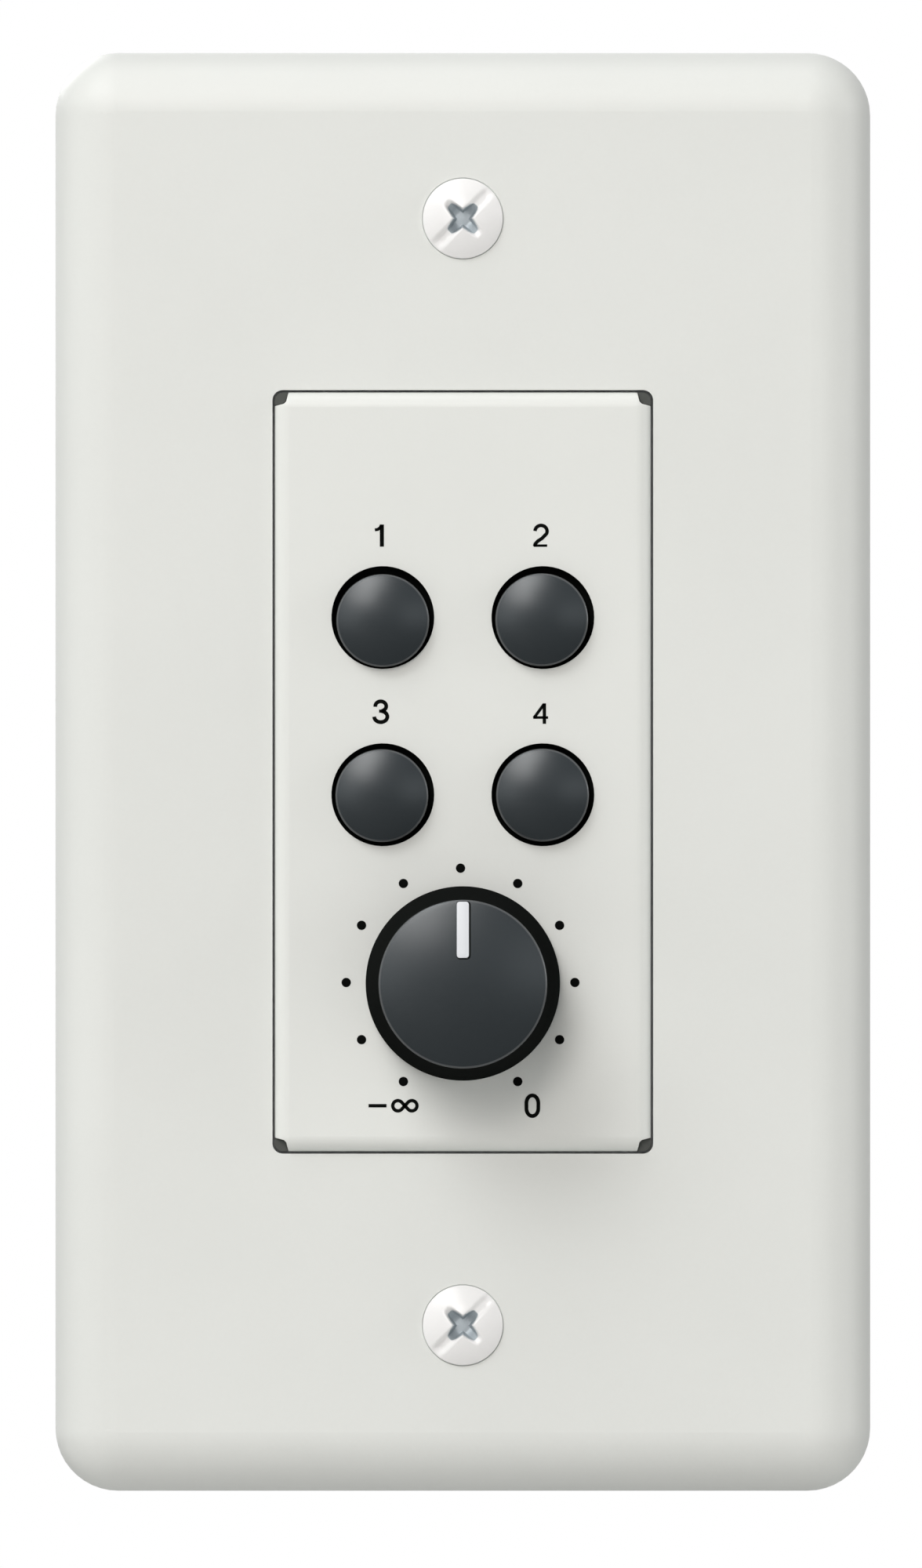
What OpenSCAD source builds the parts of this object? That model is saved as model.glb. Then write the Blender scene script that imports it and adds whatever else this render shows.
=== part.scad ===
// Wall control panel: a one-gang wall plate around an insert with four push buttons and a volume knob.
// Millimetres. X points right, Z points up and the front faces -Y.
// The wall surface is the plane Y = 0. The origin is the middle of the panel on that surface.
// Every module below is drawn lying down (x right, y up the wall, z towards the viewer), and
// on_wall() stands it up.

/* [Wall plate] */
// Width of the wall plate
plate_w = 71.4; // [66:0.2:90]
// Height of the wall plate
plate_h = 126; // [118:0.5:140]
// How far the plate's face stands off the wall
plate_d = 6; // [5.4:0.1:8]
// Wall thickness of the plate
plate_wall = 2.2; // [1.8:0.1:2.6]
// Radius of the rolled front edge
plate_edge_r = 5.2; // [3:0.1:6]
// How much larger the corner radius is than the rolled edge
plate_corner_extra = 0.3; // [0.1:0.1:3]
// Width of the opening in the plate
aperture_w = 33.3; // [31:0.1:36]
// Height of the opening in the plate
aperture_h = 66.8; // [64:0.1:70]
// Corner radius of the opening
aperture_r = 0.9; // [0.6:0.1:1.4]
// Thickness of the stiffening ribs behind the plate
rib_t = 1.2; // [0.8:0.1:1.6]

/* [Plate screws] */
// Distance between the two plate screws
plate_screw_pitch = 96.84; // [95:0.02:99]
// Diameter of the oval screw head
plate_screw_head = 7; // [6:0.1:8]
// Diameter of the screw shank
plate_screw_shank = 3.4; // [3:0.1:3.8]
// Height of the cylindrical rim under the dome
plate_screw_rim = 0.25; // [0.1:0.05:0.5]
// Height of the dome above the rim
plate_screw_dome = 1.15; // [0.8:0.05:1.5]
// How far the shank reaches behind the wall surface
plate_screw_reach = 4.5; // [3:0.1:8]
// Full angle of the countersink
sink_angle = 82; // [78:1:90]

/* [Mounting yoke] */
// Thickness of the steel yoke
yoke_t = 1.5; // [1.2:0.1:2]
// How far the yoke's middle reaches past the insert on each side
yoke_side = 4; // [2:0.1:5]
// Width of the yoke's ears
ear_w = 22; // [16:0.5:28]
// How far the yoke reaches past each plate screw
yoke_end = 4; // [3.2:0.1:5]
// Distance between the two wall box screw holes
box_pitch = 83.34; // [82:0.02:85]
// Diameter of the wall box screw holes
box_hole = 4; // [3.7:0.1:4.6]

/* [Insert] */
// Gap between the insert and the plate's opening
insert_gap = 0.2; // [0.1:0.02:0.4]
// How far the fascia stands proud of the plate
fascia_proud = 1; // [0.8:0.1:3]
// Thickness of the fascia's front wall
fascia_wall = 2; // [1.6:0.1:2.2]
// Thickness of the fascia's side walls
fascia_side = 1.4; // [1.2:0.1:1.8]
// Depth of the fascia's side walls below its front wall
fascia_skirt = 1; // [0.6:0.1:1.4]
// Radius of the fascia's front edge
fascia_edge_r = 1.3; // [0.5:0.1:1.4]
// Size of the notch in each corner of the fascia
notch = 1; // [0.7:0.05:1.4]
// How far the frame's corner posts lie below the fascia's face
post_drop = 1.1; // [0.6:0.1:1.6]
// Wall thickness of the insert frame
frame_wall = 1.6; // [1.2:0.1:2]
// Floor thickness of the insert frame
frame_floor = 1.2; // [1:0.1:1.6]
// Diameter of the fascia's screw bosses
boss_d = 4.6; // [4:0.1:5.4]
// Shank diameter of the fascia screws
fascia_screw = 2.1; // [1.8:0.1:2.4]

/* [Buttons] */
// Distance between the two button columns
button_pitch_x = 14; // [12:0.1:16]
// Distance between the two button rows
button_pitch_y = 15.5; // [13:0.1:17]
// Height of the upper button row above the panel's middle
button_row_y = 13.5; // [12:0.1:15]
// Diameter of the button holes
button_hole = 9; // [8:0.1:10]
// Gap around a button in its hole
button_gap = 0.35; // [0.3:0.01:0.5]
// How far a button narrows towards its top edge, on the radius
button_taper = 0.1; // [0.05:0.05:0.4]
// How far a button's edge stands above the fascia
button_proud = 0.8; // [0.6:0.1:2.5]
// Height of the button's domed crown
button_crown = 0.45; // [0.2:0.05:0.8]
// Width of the bevel around the button's top
button_bevel = 0.22; // [0.1:0.02:0.4]
// Travel of a button
button_travel = 0.5; // [0.3:0.05:0.6]
// Width of a push switch
switch_w = 6; // [5:0.1:7.5]
// Diameter of a push switch's plunger
plunger_d = 3.5; // [3:0.1:4]

/* [Volume control] */
// Height of the knob's axis above the panel's middle
knob_y = -18.5; // [-19.5:0.1:-18]
// Diameter of the knob at its foot
knob_d = 17; // [15:0.1:18]
// Diameter of the knob's top edge
knob_top_d = 14.8; // [13:0.1:15]
// Height of the knob
knob_h = 11; // [9:0.1:14]
// Height of the domed crown on the knob
knob_crown = 0.6; // [0.1:0.05:0.8]
// Width of the bevel around the knob's top
knob_bevel = 0.22; // [0.1:0.02:0.4]
// Wall thickness of the knob
knob_wall = 1.6; // [1.2:0.1:2]
// Gap between the knob and the fascia
knob_gap = 0.4; // [0.2:0.1:1]
// Width of the white pointer
pointer_w = 1.15; // [0.8:0.05:1.6]
// Length of the white pointer
pointer_l = 5; // [3:0.1:5.6]
// How far the pointer's inlay goes into the knob
pointer_deep = 0.7; // [0.5:0.1:1]
// Diameter of the volume control's shaft
shaft_d = 6; // [5.4:0.1:6.4]
// How far the shaft reaches into the knob
shaft_grip = 7; // [5:0.1:7.4]
// Half of the volume control's turn, in degrees
half_turn = 150; // [120:1:152]
// Width of the volume control's housing
pot_w = 12.4; // [11.6:0.1:14]

/* [Circuit board] */
// Width of the circuit board
board_w = 30; // [28.8:0.1:34]
// Height of the circuit board
board_h = 63; // [61:0.1:68]
// Thickness of the circuit board
board_t = 1.6; // [1.2:0.1:2]
// Length of the standoffs between yoke and board
board_gap = 6.5; // [6.2:0.1:9]
// Width across the flats of the hexagonal standoffs
standoff_af = 5; // [4.5:0.1:5.5]

/* [Terminals] */
// Number of terminals
poles = 8; // [4:1:8]
// Distance between terminals
pole_pitch = 3.5; // [3.4:0.01:3.6]
// Depth of the terminal block, down the board
block_h = 7; // [6.8:0.1:7.2]
// How far the terminal block stands off the board
block_t = 10; // [9.6:0.1:12]

/* [Hidden] */
$fn = 64;
// How far a cutting shape runs past a face
cut = 1;
// Least overlap of two shapes that would otherwise end on one face
hair = 0.001;
lap = 0.01;
// Gap between pieces that are fitted together
seat = 0.05;
// Radial gap where one piece turns or slides in another
run = 0.05;
// Gap of a press fit
press = 0.02;
// Gap where a piece passes another freely
free = 0.2;

// Wall plate
plate_foot = 0.2;
plate_edge = min(plate_edge_r, plate_d - plate_foot);
plate_corner = plate_edge + plate_corner_extra;
plate_inside = plate_d - plate_wall;
cavity_edge_least = 0.5;
cavity_edge = max(plate_edge - plate_wall, cavity_edge_least);
cavity_corner = cavity_edge + plate_corner_extra;
sink_gap = 0.1;
shank_gap = 0.25;
plate_boss_wall = 1.5;
rib_inset = 4;
rib_off = 3.5;

// Heights of the insert's layers above the wall
insert_w = aperture_w - 2 * insert_gap;
insert_h = aperture_h - 2 * insert_gap;
insert_r = aperture_r - insert_gap;
fascia_front = plate_d + fascia_proud;
fascia_inner = fascia_front - fascia_wall;
fascia_foot = fascia_inner - fascia_skirt;
frame_top = yoke_t + frame_floor;

// Yoke
yoke_w = insert_w + 2 * yoke_side;
yoke_body_h = insert_h + 2 * yoke_side;
yoke_h = plate_screw_pitch + 2 * yoke_end;
yoke_corner = 2;

// Fascia screws and the bosses they bite into
boss_room = 0.3;
boss_margin = frame_wall + boss_d / 2 + boss_room;
boss_x = insert_w / 2 - boss_margin;
boss_y = insert_h / 2 - boss_margin;
boss_roof = 1;
fascia_screw_r = fascia_screw / 2;
fascia_screw_head_r = fascia_screw;
fascia_screw_head_t = 1.5;
fascia_screw_tip = fascia_inner - boss_roof;

// Buttons: the middle of each hole, how the button hangs in it, and the button's own axis
button_holes = [for (row = [0, 1], side = [-1, 1])
    [side * button_pitch_x / 2, button_row_y - row * button_pitch_y]];
button_play = [[0, -0.27], [-0.1, -0.2], [-0.08, -0.08], [-0.03, -0.03]];
button_places = [for (i = [0 : len(button_holes) - 1]) button_holes[i] + button_play[i]];
cap_r = button_hole / 2 - button_gap;
cap_top_r = cap_r - button_taper;
cap_edge = fascia_front + button_proud;
cap_face = cap_edge + button_bevel;
cap_face_r = cap_top_r - button_bevel;
cap_lip = 0.5;
cap_lip_r = button_hole / 2 + cap_lip;
cap_lip_t = 1;
cap_lip_top = fascia_inner - seat;
stem_wall = 1.1;
stem_r = plunger_d / 2 + stem_wall;
stem_room = 0.5;
stem_hole = stem_r + stem_room;
stem_foot = 0.2;
socket_l = 2.8;

// Circuit board
board_corner = 1;
board_front = -board_gap;
board_back = board_front - board_t;
pin_r = 0.4;
pin_hole = pin_r + 2 * run;
pin_tail = 1.2;

// Push switches
switch_base_t = 3;
switch_cover_t = 0.3;
switch_top = board_front + switch_base_t;
collar_rim = 0.45;
plunger_collar_r = plunger_d / 2 + collar_rim;
plunger_collar_t = 1;
plunger_top = stem_foot + socket_l;
well_r = plunger_collar_r + free;
dome_r = plunger_collar_r;
dome_t = 0.1;
dome_spare = 0.7;
dome_top = switch_top - plunger_collar_t - 2 * seat;
well_floor = dome_top - button_travel - dome_spare;
switch_pin_x = switch_w / 2 - pin_r;
switch_pin_inset = 0.9;
switch_pin_y = switch_w / 2 - switch_pin_inset;

// Knob
knob_foot = fascia_front + knob_gap;
knob_edge = knob_foot + knob_h;
knob_face = knob_edge + knob_bevel;
knob_face_r = knob_top_d / 2 - knob_bevel;
knob_roof_t = 2.4;
knob_roof = knob_edge - knob_roof_t;
hub_wall = 1.4;
knob_hub_r = shaft_d / 2 + hub_wall;
hub_recess = 0.5;
hub_foot = knob_foot + hub_recess;
hub_lead = 0.1;
pointer_lift = 0.05;
pointer_rim = 0.1;
clip_t = 0.5;
clip_h = 2;
clip_up = 1.5;
clip_foot = hub_foot + clip_up;
clip_groove = 0.3;
clip_slit = 2.4;

// Potentiometer
shaft_top = hub_foot + hub_lead + shaft_grip;
shaft_room = 1;
shaft_flat = shaft_d / 4;
spigot_r = shaft_d / 4;
pot_front_wall = 0.8;
pot_side_wall = 0.8;
wafer_t = 1.2;
pot_back = board_front + wafer_t;
pot_cavity_r = pot_w / 2 - pot_side_wall;
rotor_t = 2.4;
arm_l = 1.4;
rotor_r = pot_cavity_r - arm_l;
rotor_front = -pot_front_wall - free;
rotor_back = rotor_front - rotor_t;
arm_half = 12;
stop_play = 0.6;
stop_half = 180 - half_turn - arm_half - stop_play;
bushing_wall = 0.45;
bushing_r = shaft_d / 2 + run + bushing_wall;
bushing_end = 0.6;
washer_t = 0.5;
washer_rim = 0.4;
nut_t = 2;
nut_wall = 1.5;
nut_af = 2 * (bushing_r + nut_wall);
nut_room = 0.7 * nut_af;
bushing_l = yoke_t + washer_t + nut_t + bushing_end;
wiper_t = 0.2;
wiper_rim = 0.3;
finger_w = 0.8;
track_t = 0.1;
track_w = 1;
track_inset = 0.7;
track_r = rotor_r - track_inset;
track_gap_half = 14;
pot_pin_out = 1;
pot_pin_y = -pot_w / 2 - pot_pin_out;
wafer_edge = 1;
pot_pin_pitch = 2.5;
pot_pin_head = 0.3;

// Terminal block, measured off the back of the board
block_edge = 0.2;
block_w = poles * pole_pitch + 2 * block_edge;
block_top = board_h / 2 - block_edge;
block_floor = 1.6;
pole_wall = 1.1;
wire_w = pole_pitch - pole_wall;
wire_h = 2.6;
wire_deep = 5.6;
wire_top = block_floor + wire_h;
terminal_screw_inset = 3.2;
terminal_screw_y = block_top - terminal_screw_inset;
terminal_head_wall = 0.4;
terminal_head_r = pole_pitch / 2 - terminal_head_wall;
terminal_head_t = 1.8;
terminal_head_drop = 0.8;
terminal_shank_r = 0.95;
terminal_bite = 0.8;
terminal_pin_tail = 0.8;
clamp_l = 3;
clamp_w = wire_w - 2 * seat;
clamp_wall = 0.4;
clamp_floor = 0.6;
clamp_roof = 0.9;
clamp_bore = 1;
terminal_x = [for (i = [0 : poles - 1]) (i - (poles - 1) / 2) * pole_pitch];

// Standoffs, clear of both the terminal block and the fascia screws
spigot_hole = 1.5;
board_screw_r = 1.2;
board_screw_head_r = 1.8 * board_screw_r;
board_screw_head_t = 1.6;
board_screw_gap = 0.15;
board_screw_l = 4;
board_bore_l = board_screw_l + 0.5;
standoff_margin = 3;
standoff_x = board_w / 2 - standoff_margin;
below_block = block_top - block_h - board_screw_head_r;
below_boss = boss_y - fascia_screw_head_r - standoff_af / 2;
standoff_room = 0.64;
standoff_y = min(below_block, below_boss) - standoff_room;

// Resistors below the lower switches
resistors = 4;
resistor_pitch = 2.8;
resistor_l = 6.4;
resistor_r = 1.15;
resistor_waist_r = 0.85 * resistor_r;
resistor_end_l = 1.6;
resistor_room = 2.5;
resistor_y = button_row_y - button_pitch_y - switch_w / 2 - resistor_room;
lead_r = 0.3;
lead_bend_r = 0.36;
lead_reach = 1.9;
lead_span = resistor_l / 2 + lead_reach;

// Stands a lying piece up against the wall.
module on_wall() rotate([90, 0, 0]) children();

// Repeats a shape at four places that mirror each other.
module at_four(x, y) for (sx = [-1, 1], sy = [-1, 1]) translate([sx * x, sy * y, 0]) children();

// Repeats a shape at the four corners of a rectangle, turned so that x and y point inwards.
module in_corners(w, h)
    for (sx = [0, 1], sy = [0, 1])
        mirror([sx, 0, 0]) mirror([0, sy, 0]) translate([-w / 2, -h / 2, 0]) children();

// Repeats a shape at the middle of each button hole.
module at_holes() for (p = button_holes) translate([p.x, p.y, 0]) children();

// Repeats a shape on the axis of each button.
module at_buttons() for (p = button_places) translate([p.x, p.y, 0]) children();

module at_knob() translate([0, knob_y, 0]) children();

// A cylinder between two heights.
module rod(r, z0, z1) translate([0, 0, z0]) cylinder(r = r, h = z1 - z0);

// A flat ring between two heights.
module ring(r_out, r_in, z0, z1) difference() {
    rod(r_out, z0, z1);
    rod(r_in, z0 - cut, z1 + cut);
}

// A box, centred across, between two heights.
module slab(w, h, z0, z1) translate([-w / 2, -h / 2, z0]) cube([w, h, z1 - z0]);

module rounded_rect(w, h, r) {
    square([w - 2 * r, h], center = true);
    square([w, h - 2 * r], center = true);
    at_four(w / 2 - r, h / 2 - r) circle(r);
}

module rounded_slab(w, h, r, z0, z1)
    translate([0, 0, z0]) linear_extrude(z1 - z0) rounded_rect(w, h, r);

// Half of the rolled edge's section: flat on top, round at its outer upper corner.
module rolled_half(reach, d, r) {
    square([reach, d - r]);
    square([reach - r, d]);
    intersection() {
        translate([reach - r, d - r]) circle(r);
        square([reach, d]);
    }
}

module rolled_section(w, d, r) for (s = [0, 1]) mirror([s, 0]) rolled_half(w / 2, d, r);

// A block with round corners and a rolled front edge.
module rolled_block(w, h, d, corner, edge) {
    rotate([90, 0, 0]) linear_extrude(h - 2 * corner, center = true) rolled_section(w, d, edge);
    rotate([90, 0, 90]) linear_extrude(w - 2 * corner, center = true) rolled_section(h, d, edge);
    at_four(w / 2 - corner, h / 2 - corner) rotate_extrude() rolled_half(corner, d, edge);
}

// A rod with a domed top: it is z1 high in the middle and falls by rise towards its edge.
module domed_rod(r, rise, z0, z1) {
    ball = (r * r + rise * rise) / (2 * rise);
    rotate_extrude() intersection() {
        translate([0, z1 - ball]) circle(ball, $fn = 720);
        translate([0, z0]) square([r, z1 - z0]);
    }
}

// Cross recess of a screw, cut downwards from height z.
module cross_recess(span, width, deep, z) {
    translate([0, 0, z - deep]) cylinder(r1 = width * 0.35, r2 = width * 1.1, h = deep + lap);
    intersection() {
        for (turn = [45, 135]) rotate(turn) slab(span, width, z - deep, z + cut);
        translate([0, 0, z - deep]) cylinder(r1 = width * 0.6, r2 = span / 2, h = deep);
    }
}

// Pan head screw whose head sits behind z = 0 and whose shank runs forwards.
module pan_screw(head_r, head_t, shank_r, length) difference() {
    union() {
        mirror([0, 0, 1]) domed_rod(head_r, head_t * 0.4, 0, head_t);
        rod(shank_r, -seat, length);
    }
    mirror([0, 0, 1]) cross_recess(head_r * 1.1, head_r * 0.28, head_t * 0.7, head_t);
}

// Fixed pieces, from the front to the back

module wall_plate() color("#e0e1dc") difference() {
    union() {
        difference() {
            rolled_block(plate_w, plate_h, plate_d, plate_corner, plate_edge);
            translate([0, 0, -cut])
                rolled_block(plate_w - 2 * plate_wall, plate_h - 2 * plate_wall, plate_inside + cut,
                    cavity_corner, cavity_edge);
        }
        plate_ribs();
        for (s = [-1, 1]) translate([0, s * plate_screw_pitch / 2, 0])
            rod(plate_screw_head / 2 + plate_boss_wall, yoke_t + seat, plate_inside + seat);
    }
    rounded_slab(aperture_w, aperture_h, aperture_r, -cut, plate_d + cut);
    for (s = [-1, 1]) translate([0, s * plate_screw_pitch / 2, 0]) plate_screw_hole();
}

// Two upright and two level ribs that stiffen the plate from behind.
module plate_ribs() {
    rib_foot = yoke_t + 2 * free;
    rib_top = plate_inside + seat;
    upright_x = plate_w / 2 - plate_edge - rib_inset;
    level_y = aperture_h / 2 + rib_off;
    for (s = [-1, 1]) {
        translate([s * upright_x, 0, 0]) slab(rib_t, plate_h - plate_wall, rib_foot, rib_top);
        translate([0, s * level_y, 0]) slab(plate_w - plate_wall, rib_t, rib_foot, rib_top);
    }
}

module plate_screw_hole() {
    hole_r = plate_screw_shank / 2 + shank_gap;
    mouth_r = plate_screw_head / 2 + sink_gap;
    sink = (mouth_r - hole_r) / tan(sink_angle / 2);
    rod(hole_r, -cut, plate_d);
    translate([0, 0, plate_d - sink]) cylinder(r1 = hole_r, r2 = mouth_r, h = sink + hair);
}

module plate_screws() color("white")
    for (s = [-1, 1]) translate([0, s * plate_screw_pitch / 2, plate_d]) oval_head_screw();

// Oval head with a cross recess and one slot right across, drawn from the plate's face upwards.
module oval_head_screw() {
    head_r = plate_screw_head / 2;
    shank_r = plate_screw_shank / 2;
    cone = (head_r - shank_r) / tan(sink_angle / 2);
    top = plate_screw_rim + plate_screw_dome;
    slot_w = 1;
    cross_span = head_r * 1.2;
    cross_deep = 2;
    difference() {
        union() {
            domed_rod(head_r, plate_screw_dome, 0, top);
            translate([0, 0, -cone]) cylinder(r1 = shank_r, r2 = head_r, h = cone);
            rod(shank_r, -plate_d - plate_screw_reach, -cone);
        }
        rotate(45) slab(plate_screw_head + cut, slot_w, plate_screw_rim, top + cut);
        cross_recess(cross_span, slot_w, cross_deep, top);
    }
}

module fascia() color("#e2e3de") difference() {
    union() {
        difference() {
            translate([0, 0, fascia_foot])
                rolled_block(insert_w, insert_h, fascia_front - fascia_foot, fascia_edge_r + seat,
                    fascia_edge_r);
            slab(insert_w - 2 * fascia_side, insert_h - 2 * fascia_side, fascia_foot - cut, fascia_inner);
        }
        at_four(boss_x, boss_y) rod(boss_d / 2, yoke_t, fascia_inner + seat);
    }
    translate([0, 0, fascia_foot - cut]) linear_extrude(fascia_front - fascia_foot + 2 * cut)
        in_corners(insert_w, insert_h) notch_shape(notch);
    at_holes() rod(button_hole / 2, fascia_foot, fascia_front + cut);
    at_knob() rod(shaft_d / 2 + shaft_room, fascia_foot, fascia_front + cut);
    at_four(boss_x, boss_y) rod(fascia_screw_r + run, yoke_t - cut, fascia_screw_tip + 2 * free);
}

// Corner notch seen from the front: a square that flares a little towards the edges.
module notch_shape(size) {
    flare = size * 1.2;
    soft = size * 0.8;
    polygon([[-cut, -cut], [flare, -cut], [flare, 0], [size, soft], [soft, size], [0, flare],
        [-cut, flare]]);
}

// Dark tray behind the fascia. Its corner posts show in the fascia's notches.
module insert_frame() color("#3c403d") difference() {
    union() {
        difference() {
            rounded_slab(insert_w, insert_h, insert_r, yoke_t, fascia_foot);
            slab(insert_w - 2 * frame_wall, insert_h - 2 * frame_wall, frame_top, fascia_foot + cut);
        }
        intersection() {
            rounded_slab(insert_w, insert_h, insert_r, fascia_foot - seat, fascia_front - post_drop);
            translate([0, 0, fascia_foot - cut]) linear_extrude(fascia_front)
                in_corners(insert_w, insert_h) notch_shape(notch - seat);
        }
    }
    at_holes() rod(stem_hole, yoke_t - cut, frame_top + cut);
    at_knob() rod(nut_room, yoke_t - cut, frame_top + cut);
    at_four(boss_x, boss_y) rod(boss_d / 2 + free, yoke_t - cut, frame_top + cut);
}

// Steel strap that the wall box holds and everything else is fixed to.
module mounting_yoke() color("silver") difference() {
    union() {
        rounded_slab(yoke_w, yoke_body_h, yoke_corner, 0, yoke_t);
        rounded_slab(ear_w, yoke_h, yoke_corner, 0, yoke_t);
    }
    for (s = [-1, 1]) {
        translate([0, s * box_pitch / 2, 0]) rod(box_hole / 2, -cut, yoke_t + cut);
        translate([0, s * plate_screw_pitch / 2, 0]) rod(plate_screw_shank / 2 + run, -cut, yoke_t + cut);
    }
    at_holes() rod(stem_hole, -cut, yoke_t + cut);
    at_knob() rod(bushing_r + 2 * run, -cut, yoke_t + cut);
    at_four(boss_x, boss_y) rod(fascia_screw_r + free, -cut, yoke_t + cut);
    at_four(standoff_x, standoff_y) rod(spigot_hole, -cut, yoke_t + cut);
}

module fascia_screws() color("gainsboro")
    at_four(boss_x, boss_y)
        pan_screw(fascia_screw_head_r, fascia_screw_head_t, fascia_screw_r, fascia_screw_tip);

module board_standoffs() color("gold") at_four(standoff_x, standoff_y) difference() {
    union() {
        translate([0, 0, board_front]) cylinder(r = standoff_af / 2 / cos(30), h = board_gap, $fn = 6);
        rod(spigot_hole - run, -seat, yoke_t);
    }
    rod(board_screw_r + run, board_front - cut, board_front + board_bore_l);
}

module circuit_board() color("darkgreen") difference() {
    rounded_slab(board_w, board_h, board_corner, board_back, board_front);
    at_four(standoff_x, standoff_y) board_hole(board_screw_r + board_screw_gap);
    at_buttons() at_four(switch_pin_x, switch_pin_y) board_hole(pin_hole);
    at_knob() pot_pin_places() board_hole(pin_hole);
    for (x = terminal_x) translate([x, terminal_screw_y, 0]) board_hole(pin_hole);
    resistor_places() for (s = [-1, 1]) translate([s * lead_span, 0, 0]) board_hole(lead_bend_r + 2 * run);
}

module board_hole(r) rod(r, board_back - cut, board_front + cut);

module board_screws() color("gainsboro") at_four(standoff_x, standoff_y) translate([0, 0, board_back])
    pan_screw(board_screw_head_r, board_screw_head_t, board_screw_r, board_t + board_screw_l);

module resistor_places()
    for (i = [0 : resistors - 1]) translate([0, resistor_y - i * resistor_pitch, 0]) children();

// One resistor per button, lying on the back of the board.
module board_resistors() color("tan") resistor_places() {
    axis_z = board_back - resistor_r - seat;
    translate([0, 0, axis_z]) rotate([0, 90, 0]) {
        rod(resistor_waist_r, -resistor_l / 2, resistor_l / 2);
        for (s = [0, 1]) mirror([0, 0, s]) rod(resistor_r, resistor_l / 2 - resistor_end_l, resistor_l / 2);
        rod(lead_r, -lead_span, lead_span);
    }
    for (s = [-1, 1]) translate([s * lead_span, 0, 0])
        rod(lead_bend_r, axis_z - lead_bend_r, board_front - 2 * seat);
}

// Push buttons and their switches

module button_cap() color("#33373a") difference() {
    union() {
        rotate_extrude() polygon([[0, cap_lip_top], [cap_r, cap_lip_top], [cap_top_r, cap_edge],
            [cap_face_r, cap_face], [0, cap_face]]);
        domed_rod(cap_face_r, button_crown, cap_edge, cap_face + button_crown);
        rod(cap_lip_r, cap_lip_top - cap_lip_t, cap_lip_top);
        rod(stem_r, stem_foot, cap_lip_top);
    }
    rod(plunger_d / 2 + run, stem_foot - cut, plunger_top + seat);
}

module switch_plunger() color("#1d1d1d") {
    rod(plunger_d / 2, switch_top - plunger_collar_t - seat, plunger_top);
    rod(plunger_collar_r, switch_top - plunger_collar_t - seat, switch_top - seat);
}

// Snap dome that clicks and pushes the plunger back.
module switch_dome() color("silver") {
    rise = dome_top - well_floor - seat - dome_t;
    difference() {
        domed_rod(dome_r, rise, well_floor + seat, dome_top);
        domed_rod(dome_r - dome_t, rise, well_floor - cut, dome_top - dome_t);
    }
}

module switch_bases() color("#262626") at_buttons() difference() {
    slab(switch_w, switch_w, board_front, switch_top);
    rod(well_r, well_floor, switch_top + cut);
}

// Steel cover of each switch, with two tabs folded down its sides.
module switch_covers() color("silver") at_buttons() difference() {
    tab_foot = board_front + 2 * switch_cover_t;
    cover_top = switch_top + switch_cover_t;
    union() {
        slab(switch_w, switch_w, switch_top, cover_top);
        for (s = [-1, 1]) translate([0, s * (switch_w + switch_cover_t) / 2, 0])
            slab(switch_w / 2, switch_cover_t, tab_foot, cover_top);
    }
    rod(plunger_d / 2 + 2 * run, switch_top - cut, cover_top + cut);
}

module switch_pins() color("silver")
    at_buttons() at_four(switch_pin_x, switch_pin_y) rod(pin_r, board_back - pin_tail, board_front);

// Volume knob and potentiometer

module volume_knob() color("#25282a") at_knob() difference() {
    union() {
        rotate_extrude() polygon([[0, knob_foot], [knob_d / 2, knob_foot], [knob_top_d / 2, knob_edge],
            [knob_face_r, knob_face], [0, knob_face]]);
        knob_dome(0);
    }
    difference() {
        translate([0, 0, knob_foot - hair]) cylinder(r1 = knob_d / 2 - knob_wall,
            r2 = knob_top_d / 2 - knob_wall, h = knob_roof - knob_foot);
        rod(knob_hub_r, hub_foot, knob_roof + cut);
    }
    ring(knob_hub_r + cut, knob_hub_r - clip_groove, clip_foot, clip_foot + clip_h);
    d_shaft(run, knob_foot - cut, shaft_top + 2 * free);
    pointer_prism(seat / 2, knob_face - pointer_deep - seat);
}

// The knob's domed top, lifted by a small amount for the pointer.
module knob_dome(lift) domed_rod(knob_face_r, knob_crown, knob_edge - cut, knob_face + knob_crown + lift);

// Upright prism of the pointer's outline, grown sideways by a gap.
module pointer_prism(gap, z0) {
    tip = knob_face_r - pointer_rim;
    corner = pointer_w * 0.3;
    translate([0, tip - pointer_l / 2, 0])
        rounded_slab(pointer_w + 2 * gap, pointer_l + 2 * gap, corner + gap, z0, knob_edge + knob_h);
}

module knob_pointer() color("white") at_knob() intersection() {
    pointer_prism(0, knob_face - pointer_deep);
    knob_dome(pointer_lift);
}

// Split spring ring that squeezes the knob's hub onto the shaft.
module knob_clip() color("silver") at_knob() difference() {
    ring(knob_hub_r - clip_groove + seat + clip_t, knob_hub_r - clip_groove + seat,
        clip_foot + seat, clip_foot + clip_h - seat);
    translate([0, -knob_hub_r, 0]) slab(clip_slit, knob_hub_r, clip_foot - cut, clip_foot + clip_h + cut);
}

// Round shaft with one flat, grown by a gap, between two heights.
module d_shaft(gap, z0, z1) difference() {
    rod(shaft_d / 2 + gap, z0, z1);
    translate([0, -shaft_d - shaft_flat - gap, 0]) slab(2 * shaft_d, 2 * shaft_d, z0 - cut, z1 + cut);
}

module pot_shaft() color("silver") at_knob() {
    rod(shaft_d / 2, rotor_front, knob_foot);
    d_shaft(0, knob_foot, shaft_top);
    rod(spigot_r, rotor_back, rotor_front);
}

// Pie slice used for the turning arm and its stop.
module wedge(r, half, z0, z1) translate([0, 0, z0]) linear_extrude(z1 - z0)
    polygon([[0, 0], [r * tan(half), r], [-r * tan(half), r]]);

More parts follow.
